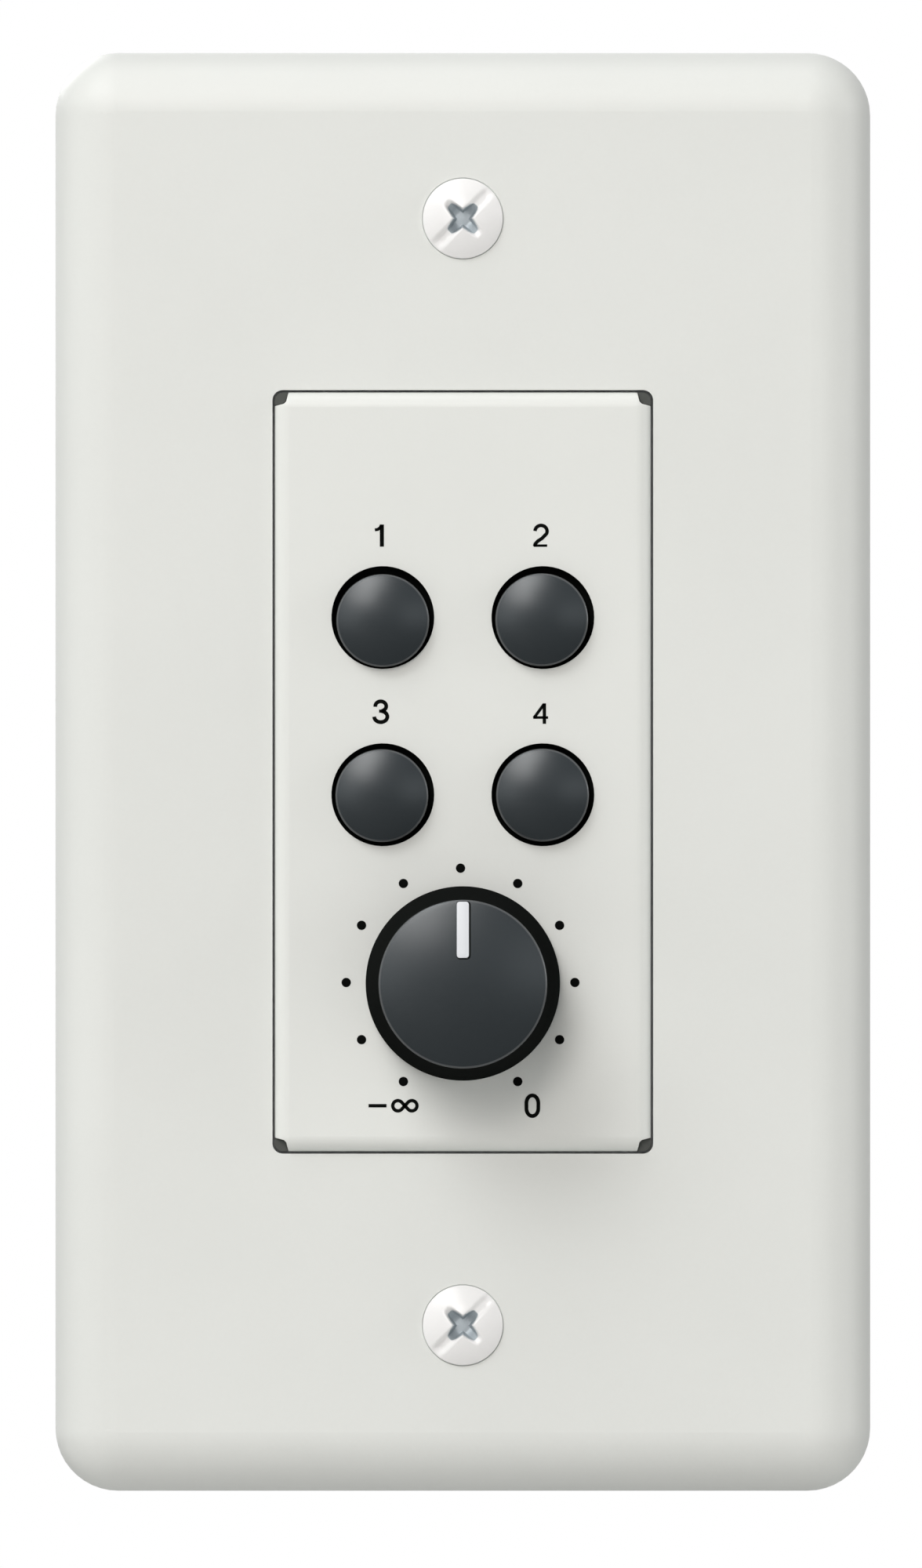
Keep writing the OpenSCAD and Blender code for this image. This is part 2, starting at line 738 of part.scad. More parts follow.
module pot_rotor() color("ivory") at_knob() difference() {
    union() {
        rod(rotor_r, rotor_back, rotor_front);
        intersection() {
            rod(pot_cavity_r - free, rotor_back, rotor_front);
            wedge(pot_cavity_r + cut, arm_half, rotor_back, rotor_front);
        }
    }
    rod(spigot_r + press, rotor_back - cut, rotor_front + cut);
}

// Spring contact on the rotor's back, with one finger that reaches the track.
module pot_wiper() color("gold") at_knob() {
    ring(rotor_r - wiper_rim, spigot_r + free, rotor_back - wiper_t, rotor_back);
    translate([0, track_r, 0]) slab(finger_w, finger_w, pot_back + track_t + seat, rotor_back - wiper_t / 2);
}

module pot_housing() color("silver") at_knob() difference() {
    union() {
        slab(pot_w, pot_w, pot_back, 0);
        rod(bushing_r, -seat, bushing_l);
    }
    rod(shaft_d / 2 + run, -pot_front_wall - cut, bushing_l + cut);
    difference() {
        rod(pot_cavity_r, pot_back - cut, -pot_front_wall);
        difference() {
            rotate(180) wedge(pot_cavity_r + cut, stop_half, pot_back - 2 * cut, 0);
            rod(rotor_r + free, pot_back - 3 * cut, cut);
        }
    }
}

module pot_wafer() color("saddlebrown") at_knob() difference() {
    tail = pot_pin_out + wafer_edge;
    translate([0, -tail / 2, 0]) slab(pot_w, pot_w + tail, board_front, pot_back);
    pot_pin_places() rod(pin_hole, board_front - cut, pot_back + cut);
}

// Horseshoe of carbon that the wiper runs along.
module pot_track() color("black") at_knob() difference() {
    ring(track_r + track_w / 2, track_r - track_w / 2, pot_back, pot_back + track_t);
    rotate(180) wedge(track_r + track_w, track_gap_half, pot_back - cut, pot_back + cut);
}

module pot_pin_places()
    for (i = [-1 : 1]) translate([i * pot_pin_pitch, pot_pin_y, 0]) children();

module pot_terminals() color("silver") at_knob() pot_pin_places() {
    rod(pin_r, board_back - pin_tail, pot_back + pot_pin_head);
    rod(pin_hole + pot_pin_head, pot_back, pot_back + pot_pin_head);
}

module pot_washer() color("silver") at_knob()
    ring(nut_af / 2 + washer_rim, bushing_r + 2 * run, yoke_t, yoke_t + washer_t);

module pot_nut() color("silver") at_knob() difference() {
    translate([0, 0, yoke_t + washer_t]) cylinder(r = nut_af / 2 / cos(30), h = nut_t, $fn = 6);
    rod(bushing_r + run, yoke_t, yoke_t + washer_t + nut_t + cut);
}

// Terminal block on the back of the board. Heights below are measured off the board's back.

module off_board() translate([0, 0, board_back]) mirror([0, 0, 1]) children();

module terminal_block() color("seagreen") off_board() difference() {
    translate([-block_w / 2, block_top - block_h, 0]) rotate([90, 0, 90]) linear_extrude(block_w)
        block_section();
    for (x = terminal_x) translate([x, 0, 0]) {
        translate([0, block_top + (cut - wire_deep) / 2, 0])
            slab(wire_w, wire_deep + cut, block_floor, wire_top);
        translate([0, terminal_screw_y, 0]) {
            rod(terminal_head_r + 2 * run, wire_top - lap, block_t + cut);
            rod(pin_hole, -cut, block_floor + seat);
        }
    }
}

// The block seen from its end: sloped above the wires, chamfered at its foot.
module block_section() {
    wire_slope = [1.6, 3.5];
    foot_slope = [0.8, 1.5];
    polygon([[0, 0], [block_h, 0], [block_h, block_t - wire_slope.y], [block_h - wire_slope.x, block_t],
        [foot_slope.x, block_t], [0, block_t - foot_slope.y]]);
}

module terminal_screws() color("silver") off_board()
    for (x = terminal_x) translate([x, terminal_screw_y, 0]) difference() {
        head_top = block_t - terminal_head_drop;
        head_foot = head_top - terminal_head_t;
        slot_w = 0.5;
        slot_deep = 0.6;
        union() {
            rod(terminal_head_r, head_foot, head_top);
            rod(terminal_shank_r, wire_top - terminal_bite, head_foot);
        }
        slab(3 * terminal_head_r, slot_w, head_top - slot_deep, block_t);
    }

// Steel cage that grips the wire under each terminal screw.
module terminal_clamps() color("silver") off_board()
    for (x = terminal_x) translate([x, terminal_screw_y, 0]) difference() {
        slab(clamp_w, clamp_l, block_floor + seat, wire_top - seat);
        slab(clamp_w - 2 * clamp_wall, clamp_l + cut, block_floor + clamp_floor, wire_top - clamp_roof);
        rod(terminal_shank_r + run, block_floor + clamp_bore, wire_top + cut);
    }

module terminal_pins() color("silver") off_board()
    for (x = terminal_x) translate([x, terminal_screw_y, 0])
        rod(pin_r, -board_t - terminal_pin_tail, block_floor);

module button_place(i) translate([button_places[i - 1].x, button_places[i - 1].y, 0]) children();

on_wall() wall_plate();
on_wall() plate_screws();
on_wall() fascia();
on_wall() insert_frame();
on_wall() mounting_yoke();
on_wall() fascia_screws();
on_wall() board_standoffs();
on_wall() circuit_board();
on_wall() board_screws();
on_wall() board_resistors();
for (i = [1 : 4]) {
    on_wall() button_place(i) button_cap();
    on_wall() button_place(i) switch_plunger();
    on_wall() button_place(i) switch_dome();
}
on_wall() switch_bases();
on_wall() switch_covers();
on_wall() switch_pins();
on_wall() volume_knob();
on_wall() knob_pointer();
on_wall() knob_clip();
on_wall() pot_shaft();
on_wall() pot_rotor();
on_wall() pot_wiper();
on_wall() pot_housing();
on_wall() pot_wafer();
on_wall() pot_track();
on_wall() pot_terminals();
on_wall() pot_washer();
on_wall() pot_nut();
on_wall() terminal_block();
on_wall() terminal_screws();
on_wall() terminal_clamps();
on_wall() terminal_pins();
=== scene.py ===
"""Looks of the wall control panel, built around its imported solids.

Lengths are millimetres in the panel's lying frame: x to the right, y up the wall and z out of the
wall towards the viewer. wall() turns a point of that frame into Blender's metres.
"""

import math

import bpy
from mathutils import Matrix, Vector


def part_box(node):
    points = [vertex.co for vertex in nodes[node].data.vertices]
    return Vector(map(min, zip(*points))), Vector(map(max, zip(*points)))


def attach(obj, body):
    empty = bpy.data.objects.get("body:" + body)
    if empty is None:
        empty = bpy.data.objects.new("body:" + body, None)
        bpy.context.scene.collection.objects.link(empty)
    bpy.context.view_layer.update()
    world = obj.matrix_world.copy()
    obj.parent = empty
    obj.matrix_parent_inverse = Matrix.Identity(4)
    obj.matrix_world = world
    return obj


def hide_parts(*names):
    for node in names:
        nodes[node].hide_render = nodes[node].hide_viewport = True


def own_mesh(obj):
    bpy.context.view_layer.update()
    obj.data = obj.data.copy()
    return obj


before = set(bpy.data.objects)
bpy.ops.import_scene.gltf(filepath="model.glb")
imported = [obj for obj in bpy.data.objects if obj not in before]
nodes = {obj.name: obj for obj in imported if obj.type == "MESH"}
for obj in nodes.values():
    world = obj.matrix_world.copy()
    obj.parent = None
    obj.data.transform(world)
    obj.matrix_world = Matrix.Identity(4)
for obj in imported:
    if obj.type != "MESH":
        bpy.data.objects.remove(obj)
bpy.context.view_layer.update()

MM = 0.001
# Lengths below this count as nothing
TINY = 1e-6
PANEL = "panel"
BUTTONS = (1, 2, 3, 4)


def wall(x, y, z):
    """A point of the lying frame in Blender's metres."""
    return Vector((x, -z, y)) * MM


def span(node):
    """A node's lowest and highest corner in the lying frame, in millimetres."""
    low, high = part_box(node)
    return Vector((low.x, low.z, -high.y)) / MM, Vector((high.x, high.z, -low.y)) / MM


def centre(node):
    """The middle of a node's box in the lying frame, in millimetres."""
    low, high = span(node)
    return (low + high) / 2


def upright(x, y):
    """Places a turned shape on an axis that points out of the wall there."""
    return lambda a, b, along: wall(x + a, y + b, along)


def lying(y, z):
    """Places a turned shape on an axis that runs to the right at that height and depth."""
    return lambda a, b, along: wall(along, y + a, z + b)


def turns(count):
    """Angles that share out a full turn."""
    return [2 * math.pi * k / count for k in range(count)]


def smooth_step(start, end, value):
    """Goes softly from 0 at start to 1 at end. The start may be the larger of the two."""
    share = min(max((value - start) / (end - start), 0), 1)
    return share * share * (3 - 2 * share)


def show(name, data):
    """Puts an object with that data into the scene."""
    thing = bpy.data.objects.new(name, data)
    bpy.context.scene.collection.objects.link(thing)
    return thing


# Places and sizes read from the frame

FACE = span("fascia")[1].z
PLATE_FACE = span("wall_plate")[1].z
BOARD_BACK = span("circuit_board")[0].z
BOARD_FRONT = span("circuit_board")[1].z
BOARD_EDGE = span("circuit_board")[1].x
BLOCK_FOOT = span("terminal_block")[0].y
KNOB_LOW, KNOB_HIGH = span("volume_knob")
KNOB = Vector((0, centre("volume_knob").y))


# Shapes

# A band's corner is drawn out by at most one over this
MITRE_LEAST = 0.5
# Edges that bend by more degrees than this stay sharp
SHARP_FROM = 40


class Shape:
    """Points and faces of one piece, gathered before its mesh is made."""

    def __init__(self):
        self.points = []
        self.paint = []
        self.faces = []
        self.slots = []

    def add_point(self, point, paint=0.0):
        """Adds a point and returns its number."""
        self.points.append(point)
        self.paint.append(paint)
        return len(self.points) - 1

    def add_face(self, face, slot=0):
        """Adds a face around those point numbers, in one of the piece's finishes."""
        self.faces.append(face)
        self.slots.append(slot)

    def add_rings(self, rings, slots=None, caps=(True, True)):
        """Joins rings of point numbers with quads. A ring of one point closes to a tip."""
        for i, (low, high) in enumerate(zip(rings, rings[1:])):
            slot = slots[i] if slots else 0
            count = max(len(low), len(high))
            for k in range(count):
                n = (k + 1) % count
                if len(low) == 1:
                    self.add_face([low[0], high[n], high[k]], slot)
                elif len(high) == 1:
                    self.add_face([low[k], low[n], high[0]], slot)
                else:
                    self.add_face([low[k], low[n], high[n], high[k]], slot)
        if caps[0] and len(rings[0]) > 1:
            self.add_face(rings[0][::-1], slots[0] if slots else 0)
        if caps[1] and len(rings[-1]) > 1:
            self.add_face(rings[-1], slots[-1] if slots else 0)

    def lathe(self, profile, place, segments, slots=None, paints=None):
        """Turns a profile of (radius, distance along the axis) points."""
        rings = []
        for i, (radius, along) in enumerate(profile):
            paint = paints[i] if paints else 0.0
            count = 1 if radius < TINY else segments
            rings.append([
                self.add_point(place(radius * math.cos(a), radius * math.sin(a), along), paint)
                for a in turns(count)
            ])
        self.add_rings(rings, slots)

    def tube(self, path, radius, slot, sides=16):
        """A round wire along a path of lying frame points."""
        rings = []
        side = None
        for i, point in enumerate(path):
            ahead = path[min(i + 1, len(path) - 1)] - path[max(i - 1, 0)]
            ahead.normalize()
            if side is None:
                side = ahead.orthogonal().normalized()
            side = (side - ahead * side.dot(ahead)).normalized()
            across = ahead.cross(side)
            ring = []
            for angle in turns(sides):
                place = point + side * radius * math.cos(angle) + across * radius * math.sin(angle)
                ring.append(self.add_point(wall(*place)))
            rings.append(ring)
        self.add_rings(rings, [slot] * len(rings))

    def ribbon(self, path, width, low, high, closed=False):
        """A flat band along a path of (x, y) points, between two heights."""
        rings = []
        count = len(path)
        for i, point in enumerate(path):
            before = path[i - 1] if i > 0 or closed else None
            after = path[(i + 1) % count] if i < count - 1 or closed else None
            into = (point - before).normalized() if before else (after - point).normalized()
            out = (after - point).normalized() if after else into
            ahead = (into + out).normalized()
            across = Vector((-ahead.y, ahead.x)) * width / 2 / max(ahead.dot(into), MITRE_LEAST)
            left, right = point + across, point - across
            rings.append([
                self.add_point(wall(right.x, right.y, low)),
                self.add_point(wall(left.x, left.y, low)),
                self.add_point(wall(left.x, left.y, high)),
                self.add_point(wall(right.x, right.y, high)),
            ])
        if closed:
            self.add_rings(rings + rings[:1], caps=(False, False))
        else:
            self.add_rings(rings)

    def piece(self, name, finishes, slot, body=PANEL, replaced=()):
        """Makes the mesh, puts it on its body and returns the object."""
        mesh = bpy.data.meshes.new(name)
        mesh.from_pydata(self.points, [], self.faces)
        for finish in finishes:
            mesh.materials.append(finish.material)
        mesh.polygons.foreach_set("material_index", self.slots)
        paint = mesh.attributes.new("paint", "FLOAT", "POINT")
        paint.data.foreach_set("value", self.paint)
        mesh.shade_smooth()
        mesh.set_sharp_from_angle(angle=math.radians(SHARP_FROM))
        mesh.validate()
        mesh.update()
        thing = show(name, mesh)
        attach(thing, body)
        if replaced:
            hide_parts(*replaced)
        return thing


def arc(x, y, across, up, start, end, steps=16):
    """Points on an ellipse, from one angle to another in degrees."""
    angles = [math.radians(start + (end - start) * i / steps) for i in range(steps + 1)]
    return [Vector((x + across * math.cos(a), y + up * math.sin(a))) for a in angles]


def fillet(before, corner, after, radius, steps=6):
    """Points of a round corner between two straight stretches of a profile."""
    before, corner, after = Vector(before), Vector(corner), Vector(after)
    one = (before - corner).normalized()
    two = (after - corner).normalized()
    half = one.angle(two) / 2
    middle = corner + (one + two).normalized() * radius / math.sin(half)
    first = corner + one * radius / math.tan(half) - middle
    last = corner + two * radius / math.tan(half) - middle
    turn = first.angle_signed(last)
    found = []
    for i in range(steps + 1):
        angle = -turn * i / steps
        found.append(middle + Vector((
            first.x * math.cos(angle) - first.y * math.sin(angle),
            first.x * math.sin(angle) + first.y * math.cos(angle),
        )))
    return found


def ball_radius(radius, rise):
    """Radius of the ball that a dome of that radius and rise is part of."""
    return (radius * radius + rise * rise) / (2 * rise)


def crown(radius, rise, height, steps=14):
    """A dome's profile from its edge, at that height, to its middle."""
    ball = ball_radius(radius, rise)
    found = []
    for i in range(steps + 1):
        r = radius * (1 - i / steps)
        found.append((r, height + rise - ball + math.sqrt(ball * ball - r * r)))
    return found


# Finishes

class Finish:
    """A procedural material around one Principled shader."""

    SOCKETS = {
        "colour": "Base Color",
        "roughness": "Roughness",
        "metallic": "Metallic",
        "specular": "Specular IOR Level",
        "coat": "Coat Weight",
        "coat_roughness": "Coat Roughness",
        "tint": "Specular Tint",
        "normal": "Normal",
    }

    def __init__(self, name, **constants):
        self.material = bpy.data.materials.new(name)
        self.material.use_nodes = True
        self.tree = self.material.node_tree
        self.shader = self.tree.nodes["Principled BSDF"]
        self.place = self.node("TexCoord").outputs["Object"]
        for socket, value in constants.items():
            self.set(socket, value)

    def set(self, socket, value):
        """Sets one of the shader's inputs."""
        self.plug(self.shader.inputs[self.SOCKETS[socket]], value)

    def plug(self, socket, value):
        """Links another node's output to an input, or gives the input a constant."""
        if isinstance(value, bpy.types.NodeSocket):
            self.tree.links.new(value, socket)
        elif isinstance(value, tuple) and socket.type == "RGBA":
            socket.default_value = (*value, 1)
        else:
            socket.default_value = value

    def node(self, kind, inputs=None, **settings):
        """A new node with those inputs and settings."""
        made = self.tree.nodes.new("ShaderNode" + kind)
        for name, value in settings.items():
            setattr(made, name, value)
        for name, value in (inputs or {}).items():
            self.plug(made.inputs[name], value)
        return made

    def stretched(self, stretch):
        """The place on the object, scaled along each axis."""
        return self.node("Mapping", {"Vector": self.place, "Scale": stretch}).outputs[0]

    def noise(self, size, detail, stretch=(1, 1, 1)):
        """Soft noise whose blotches are about that many millimetres across."""
        return self.node(
            "TexNoise",
            {"Vector": self.stretched(stretch), "Scale": 1 / (size * MM), "Detail": detail},
        ).outputs["Fac"]

    def cells(self, size, stretch):
        """Random grey cells, that many millimetres across."""
        found = self.node(
            "TexVoronoi", {"Vector": self.stretched(stretch), "Scale": 1 / (size * MM)}
        ).outputs["Color"]
        return self.node("SeparateColor", {"Color": found}).outputs[0]

    def math(self, operation, one, two=0.0):
        """One step of arithmetic."""
        return self.node("Math", {0: one, 1: two}, operation=operation).outputs[0]

    def weighed(self, one, two, share):
        """Two numbers added up: the first counts with that share, the second with the rest."""
        first = self.math("MULTIPLY", one, share)
        second = self.math("MULTIPLY", two, 1 - share)
        return self.math("ADD", first, second)

    def between(self, share, low, high):
        """A number that runs from low to high as share goes from 0 to 1."""
        return self.node(
            "MapRange", {"Value": share, "To Min": low, "To Max": high}
        ).outputs["Result"]

    def step(self, value, start, end):
        """A number that goes softly from 0 at start to 1 at end."""
        return self.node(
            "MapRange",
            {"Value": value, "From Min": start, "From Max": end},
            interpolation_type="SMOOTHSTEP",
        ).outputs["Result"]

    def mix(self, share, one, two):
        """A colour that goes from one to two as share goes from 0 to 1."""
        made = self.node("Mix", data_type="RGBA")
        self.plug(made.inputs["Factor"], share)
        colours = [s for s in made.inputs if s.type == "RGBA"]
        self.plug(colours[0], one)
        self.plug(colours[1], two)
        return next(s for s in made.outputs if s.type == "RGBA")

    def axis(self, letter):
        """The object's own X, Y or Z in millimetres."""
        found = self.node("SeparateXYZ", {"Vector": self.place}).outputs[letter]
        return self.math("MULTIPLY", found, 1 / MM)

    def paint(self):
        """The number that a shape's points carry."""
        return self.node("Attribute", attribute_name="paint").outputs["Fac"]

    def bump(self, height, depth):
        """Dents that many millimetres deep."""
        made = self.node("Bump", {"Height": height, "Distance": depth * MM})
        self.set("normal", made.outputs[0])


MOULDED_GLOSS = 0.06


def moulded(name, light, dark, rough, grain=0.3, depth=0.004, specular=0.5):
    """Moulded plastic: a faint cloud in its colour, and a fine grain that breaks its gloss."""
    made = Finish(name, specular=specular)
    cloud = made.noise(size=18, detail=4)
    speck = made.noise(grain, detail=2)
    share = made.weighed(cloud, speck, share=0.75)
    made.set("colour", made.mix(made.step(share, start=0.3, end=0.7), dark, light))
    made.set("roughness", made.between(speck, rough - MOULDED_GLOSS, rough + MOULDED_GLOSS))
    made.bump(speck, depth)
    return made


PLATED_GLOSSIER = 0.1
PLATED_DULLER = 0.12
# Painted shade: the colour of the deep part of a slot, and the depth over which it fades in
SLOT_SHADE_COLOUR = (0.05, 0.05, 0.048)
SLOT_SHADE_FADE = 0.15
# The terminal screws face backwards, and shade is painted dark into their slots past a depth
SLOT_SHADE_DEPTH = -span("terminal_screws")[0].z - SLOT_SHADE_FADE


def plated(name, light, dark, rough, spangle, stretch=(1, 1, 1), shade_depth=None):
    """Plated or rolled metal: crystal patches, draw lines, uneven gloss, and painted shade past a
    depth.
    """
    made = Finish(name, metallic=1.0)
    patch = made.cells(spangle, stretch)
    lines = made.noise(size=0.12, detail=3, stretch=stretch)
    stain = made.noise(size=9, detail=4)
    colour = made.mix(made.weighed(patch, stain, share=0.35), dark, light)
    # Painted shade: darker past that depth, where a slot's floor lies in shade
    if shade_depth is not None:
        colour = made.mix(made.step(made.axis("Y"), shade_depth, shade_depth - SLOT_SHADE_FADE), colour, SLOT_SHADE_COLOUR)
    made.set("colour", colour)
    made.set("roughness", made.between(lines, rough - PLATED_GLOSSIER, rough + PLATED_DULLER))
    made.bump(lines, depth=0.002)
    return made


plate_white = moulded(
    "plate_white", (0.777, 0.798, 0.77), (0.757, 0.778, 0.75), rough=0.46, grain=0.35
)
fascia_white = moulded(
    "fascia_white", (0.79, 0.811, 0.781), (0.776, 0.797, 0.767), rough=0.42, grain=0.22
)
frame_grey = moulded("frame_grey", (0.042, 0.047, 0.041), (0.034, 0.038, 0.033), rough=0.5)
switch_black = moulded("switch_black", (0.02, 0.02, 0.021), (0.014, 0.014, 0.015), rough=0.5)
rotor_ivory = moulded("rotor_ivory", (0.72, 0.66, 0.5), (0.66, 0.6, 0.44), rough=0.45)
wafer_brown = moulded(
    "wafer_brown", (0.2, 0.105, 0.045), (0.14, 0.07, 0.028), rough=0.55, grain=0.15
)
carbon_track = moulded(
    "carbon_track", (0.02, 0.02, 0.022), (0.012, 0.012, 0.013), rough=0.7, grain=0.08
)
terminal_green = moulded(
    "terminal_green", (0.03, 0.25, 0.1), (0.022, 0.2, 0.078), rough=0.42, grain=0.2
)
pointer_white = moulded(
    "pointer_white", (0.75, 0.78, 0.81), (0.72, 0.75, 0.79), rough=0.4, grain=0.15
)
matt_black = moulded(
    "matt_black", (0.0105, 0.0115, 0.011), (0.008, 0.009, 0.0085),
    rough=0.9, grain=0.12, depth=0.006, specular=0.0,
)
ink = moulded(
    "ink", (0.006, 0.007, 0.006), (0.004, 0.004, 0.004),
    rough=0.6, grain=0.08, depth=0.002, specular=0.0,
)
legend_white = moulded("legend_white", (0.8, 0.8, 0.78), (0.7, 0.7, 0.68), rough=0.6, grain=0.08)

zinc_steel = plated(
    "zinc_steel", (0.54, 0.545, 0.55), (0.42, 0.43, 0.445),
    rough=0.36, spangle=1.6, stretch=(1, 1, 0.4),
)
screw_zinc = plated("screw_zinc", (0.62, 0.63, 0.64), (0.44, 0.45, 0.48), rough=0.32, spangle=0.5)
slot_zinc = plated(
    "slot_zinc", (0.56, 0.57, 0.58), (0.42, 0.43, 0.45),
    rough=0.32, spangle=0.5, shade_depth=SLOT_SHADE_DEPTH,
)
switch_steel = plated("switch_steel", (0.6, 0.6, 0.59), (0.46, 0.46, 0.46), rough=0.32, spangle=0.8)
spring_steel = plated(
    "spring_steel", (0.56, 0.55, 0.52), (0.42, 0.42, 0.41), rough=0.28, spangle=0.8
)
shaft_metal = plated("shaft_metal", (0.62, 0.62, 0.62), (0.5, 0.5, 0.52), rough=0.3, spangle=0.5)
housing_metal = plated(
    "housing_metal", (0.58, 0.57, 0.55), (0.44, 0.44, 0.43), rough=0.38, spangle=1.2
)
nut_metal = plated("nut_metal", (0.64, 0.62, 0.56), (0.5, 0.48, 0.43), rough=0.3, spangle=0.7)
brass = plated(
    "brass", (0.72, 0.53, 0.22), (0.56, 0.38, 0.13),
    rough=0.3, spangle=0.8, stretch=(0.3, 1, 0.3),
)
tinned_pin = plated("tinned_pin", (0.64, 0.64, 0.62), (0.46, 0.46, 0.46), rough=0.32, spangle=0.4)
solder = plated("solder", (0.64, 0.64, 0.63), (0.42, 0.42, 0.44), rough=0.26, spangle=0.25)


def dark_satin(name):
    """Satin black face, and a painted highlight: a paler rim where its paint is 1."""
    # Painted highlight: a paler colour along the rim, where light catches its rounded edge
    rim = (0.07, 0.074, 0.077)
    made = Finish(name, specular=0.5, tint=(0.9, 0.965, 1.0))
    speck = made.noise(size=0.1, detail=2)
    cloud = made.noise(size=4, detail=3)
    face = made.mix(cloud, (0.0018, 0.0052, 0.0075), (0.0034, 0.0068, 0.0092))
    made.set("colour", made.mix(made.paint(), face, rim))
    made.set("roughness", made.between(speck, low=0.215, high=0.275))
    made.bump(speck, depth=0.0015)
    return made


button_black = dark_satin("button_black")
knob_black = dark_satin("knob_black")


def enamelled(name):
    """White enamel that thins out to bare zinc where the paint is 1."""
    made = Finish(name)
    speck = made.noise(size=0.2, detail=3)
    ragged = made.math("ADD", made.paint(), made.between(speck, low=-0.15, high=0.15))
    bare = made.step(ragged, start=0.35, end=0.7)
    enamel = made.mix(speck, (0.89, 0.895, 0.89), (0.92, 0.92, 0.915))
    zinc = made.mix(speck, (0.38, 0.43, 0.46), (0.46, 0.51, 0.54))
    made.set("colour", made.mix(bare, enamel, zinc))
    made.set("roughness", made.between(bare, low=0.26, high=0.45))
    made.set("metallic", made.between(bare, low=0.0, high=0.25))
    made.bump(made.noise(size=0.5, detail=2), depth=0.006)
    return made


screw_white = enamelled("screw_white")

WEAVE_PITCH = 0.9


def laminate(name):
    """Solder mask over glass weave on the faces, bare laminate on the cut edges."""
    made = Finish(name)
    normal = made.node("NewGeometry").outputs["True Normal"]
    facing = made.math("ABSOLUTE", made.node("SeparateXYZ", {"Vector": normal}).outputs["Y"])
    weave = made.math("ADD", *[
        made.math("SINE", made.math("MULTIPLY", made.axis(letter), 2 * math.pi / WEAVE_PITCH))
        for letter in "XZ"
    ])
    cloud = made.noise(size=6, detail=4)
    fibre = made.noise(size=0.3, detail=3, stretch=(1, 6, 1))
    mask = made.mix(cloud, (0.012, 0.085, 0.032), (0.018, 0.115, 0.045))
    edge = made.mix(fibre, (0.34, 0.29, 0.14), (0.46, 0.41, 0.24))
    made.set("colour", made.mix(made.step(facing, start=0.4, end=0.8), edge, mask))
    made.set("roughness", made.between(cloud, low=0.24, high=0.36))
    made.bump(weave, depth=0.003)
    return made


board_green = laminate("board_green")


def masked_copper(name):
    """Copper track seen through the solder mask."""
    made = Finish(name)
    cloud = made.noise(size=3, detail=4)
    made.set("colour", made.mix(cloud, (0.05, 0.23, 0.08), (0.075, 0.29, 0.11)))
    made.set("roughness", made.between(cloud, low=0.22, high=0.34))
    made.bump(made.noise(size=0.3, detail=2), depth=0.004)
    return made


board_copper = masked_copper("board_copper")

BAND_PLACES = (-2.35, -1.2, 0.05, 2.3)
BAND_COLOURS = ((0.3, 0.11, 0.01), (0.01, 0.01, 0.01), (0.42, 0.012, 0.01), (0.6, 0.4, 0.1))
BAND_HALF = 0.3
BAND_SOFT = 0.03


def banded(name):
    """Lacquered resistor body with colour bands across it."""
    made = Finish(name, coat=0.4, coat_roughness=0.2)
    along = made.axis("X")
    speck = made.noise(size=0.4, detail=3)
    colour = made.mix(speck, (0.5, 0.34, 0.19), (0.6, 0.43, 0.26))
    for place, band in zip(BAND_PLACES, BAND_COLOURS):
        off = made.math("ABSOLUTE", made.math("SUBTRACT", along, place))
        share = made.step(off, BAND_HALF + BAND_SOFT, BAND_HALF - BAND_SOFT)
        colour = made.mix(share, colour, band)
    made.set("colour", colour)
    made.set("roughness", made.between(speck, low=0.34, high=0.46))
    made.bump(speck, depth=0.01)
    return made


resistor_tan = banded("resistor_tan")


# Finishes and soft edges of the solids that stay

NODE_FINISHES = {
    "wall_plate": plate_white,
    "fascia": fascia_white,
    "insert_frame": frame_grey,
    "mounting_yoke": zinc_steel,
    "fascia_screws": screw_zinc,
    "board_standoffs": brass,
    "circuit_board": board_green,
    "board_screws": screw_zinc,
    "switch_bases": switch_black,
    "switch_covers": switch_steel,
    "switch_pins": tinned_pin,
    "knob_clip": spring_steel,
    "pot_shaft": shaft_metal,
    "pot_rotor": rotor_ivory,
    "pot_wiper": brass,
    "pot_housing": housing_metal,
    "pot_wafer": wafer_brown,
    "pot_track": carbon_track,
    "pot_terminals": tinned_pin,
    "pot_washer": zinc_steel,
    "pot_nut": nut_metal,
    "terminal_block": terminal_green,
    "terminal_screws": slot_zinc,
    "terminal_clamps": switch_steel,
    "terminal_pins": tinned_pin,
}
for i in BUTTONS:
    NODE_FINISHES[f"switch_plunger_{i}"] = switch_black
for name, finish in NODE_FINISHES.items():
    nodes[name].material_slots[0].material = finish.material

# Width of each soft edge
SOFT_EDGES = {
    "wall_plate": 0.18,
    "fascia": 0.12,
    "insert_frame": 0.1,
    "mounting_yoke": 0.2,
    "board_standoffs": 0.12,
    "circuit_board": 0.06,
    "switch_bases": 0.1,
    "switch_covers": 0.08,
    "pot_housing": 0.25,
    "pot_wafer": 0.08,
    "pot_nut": 0.12,
    "terminal_block": 0.15,
}
EDGE_WELD = 0.001
EDGE_SEGMENTS = 3
EDGE_ANGLE = 35
for name, width in SOFT_EDGES.items():
    weld = nodes[name].modifiers.new("weld", "WELD")
    weld.merge_threshold = EDGE_WELD * MM
    bevel = nodes[name].modifiers.new("soft_edges", "BEVEL")
    bevel.width = width * MM
    bevel.segments = EDGE_SEGMENTS
    bevel.limit_method = "ANGLE"
    bevel.angle_limit = math.radians(EDGE_ANGLE)
    bevel.harden_normals = True


# Plate screws

# Domed head on a cone
HEAD_R = 3.5
HEAD_RIM = 0.25
HEAD_DOME = span("plate_screws")[1].z - PLATE_FACE - HEAD_RIM
HEAD_SEGMENTS = 144
DOME_STEPS = 56
RIM_SOFT = 0.05
SINK_DEEP = 2.07
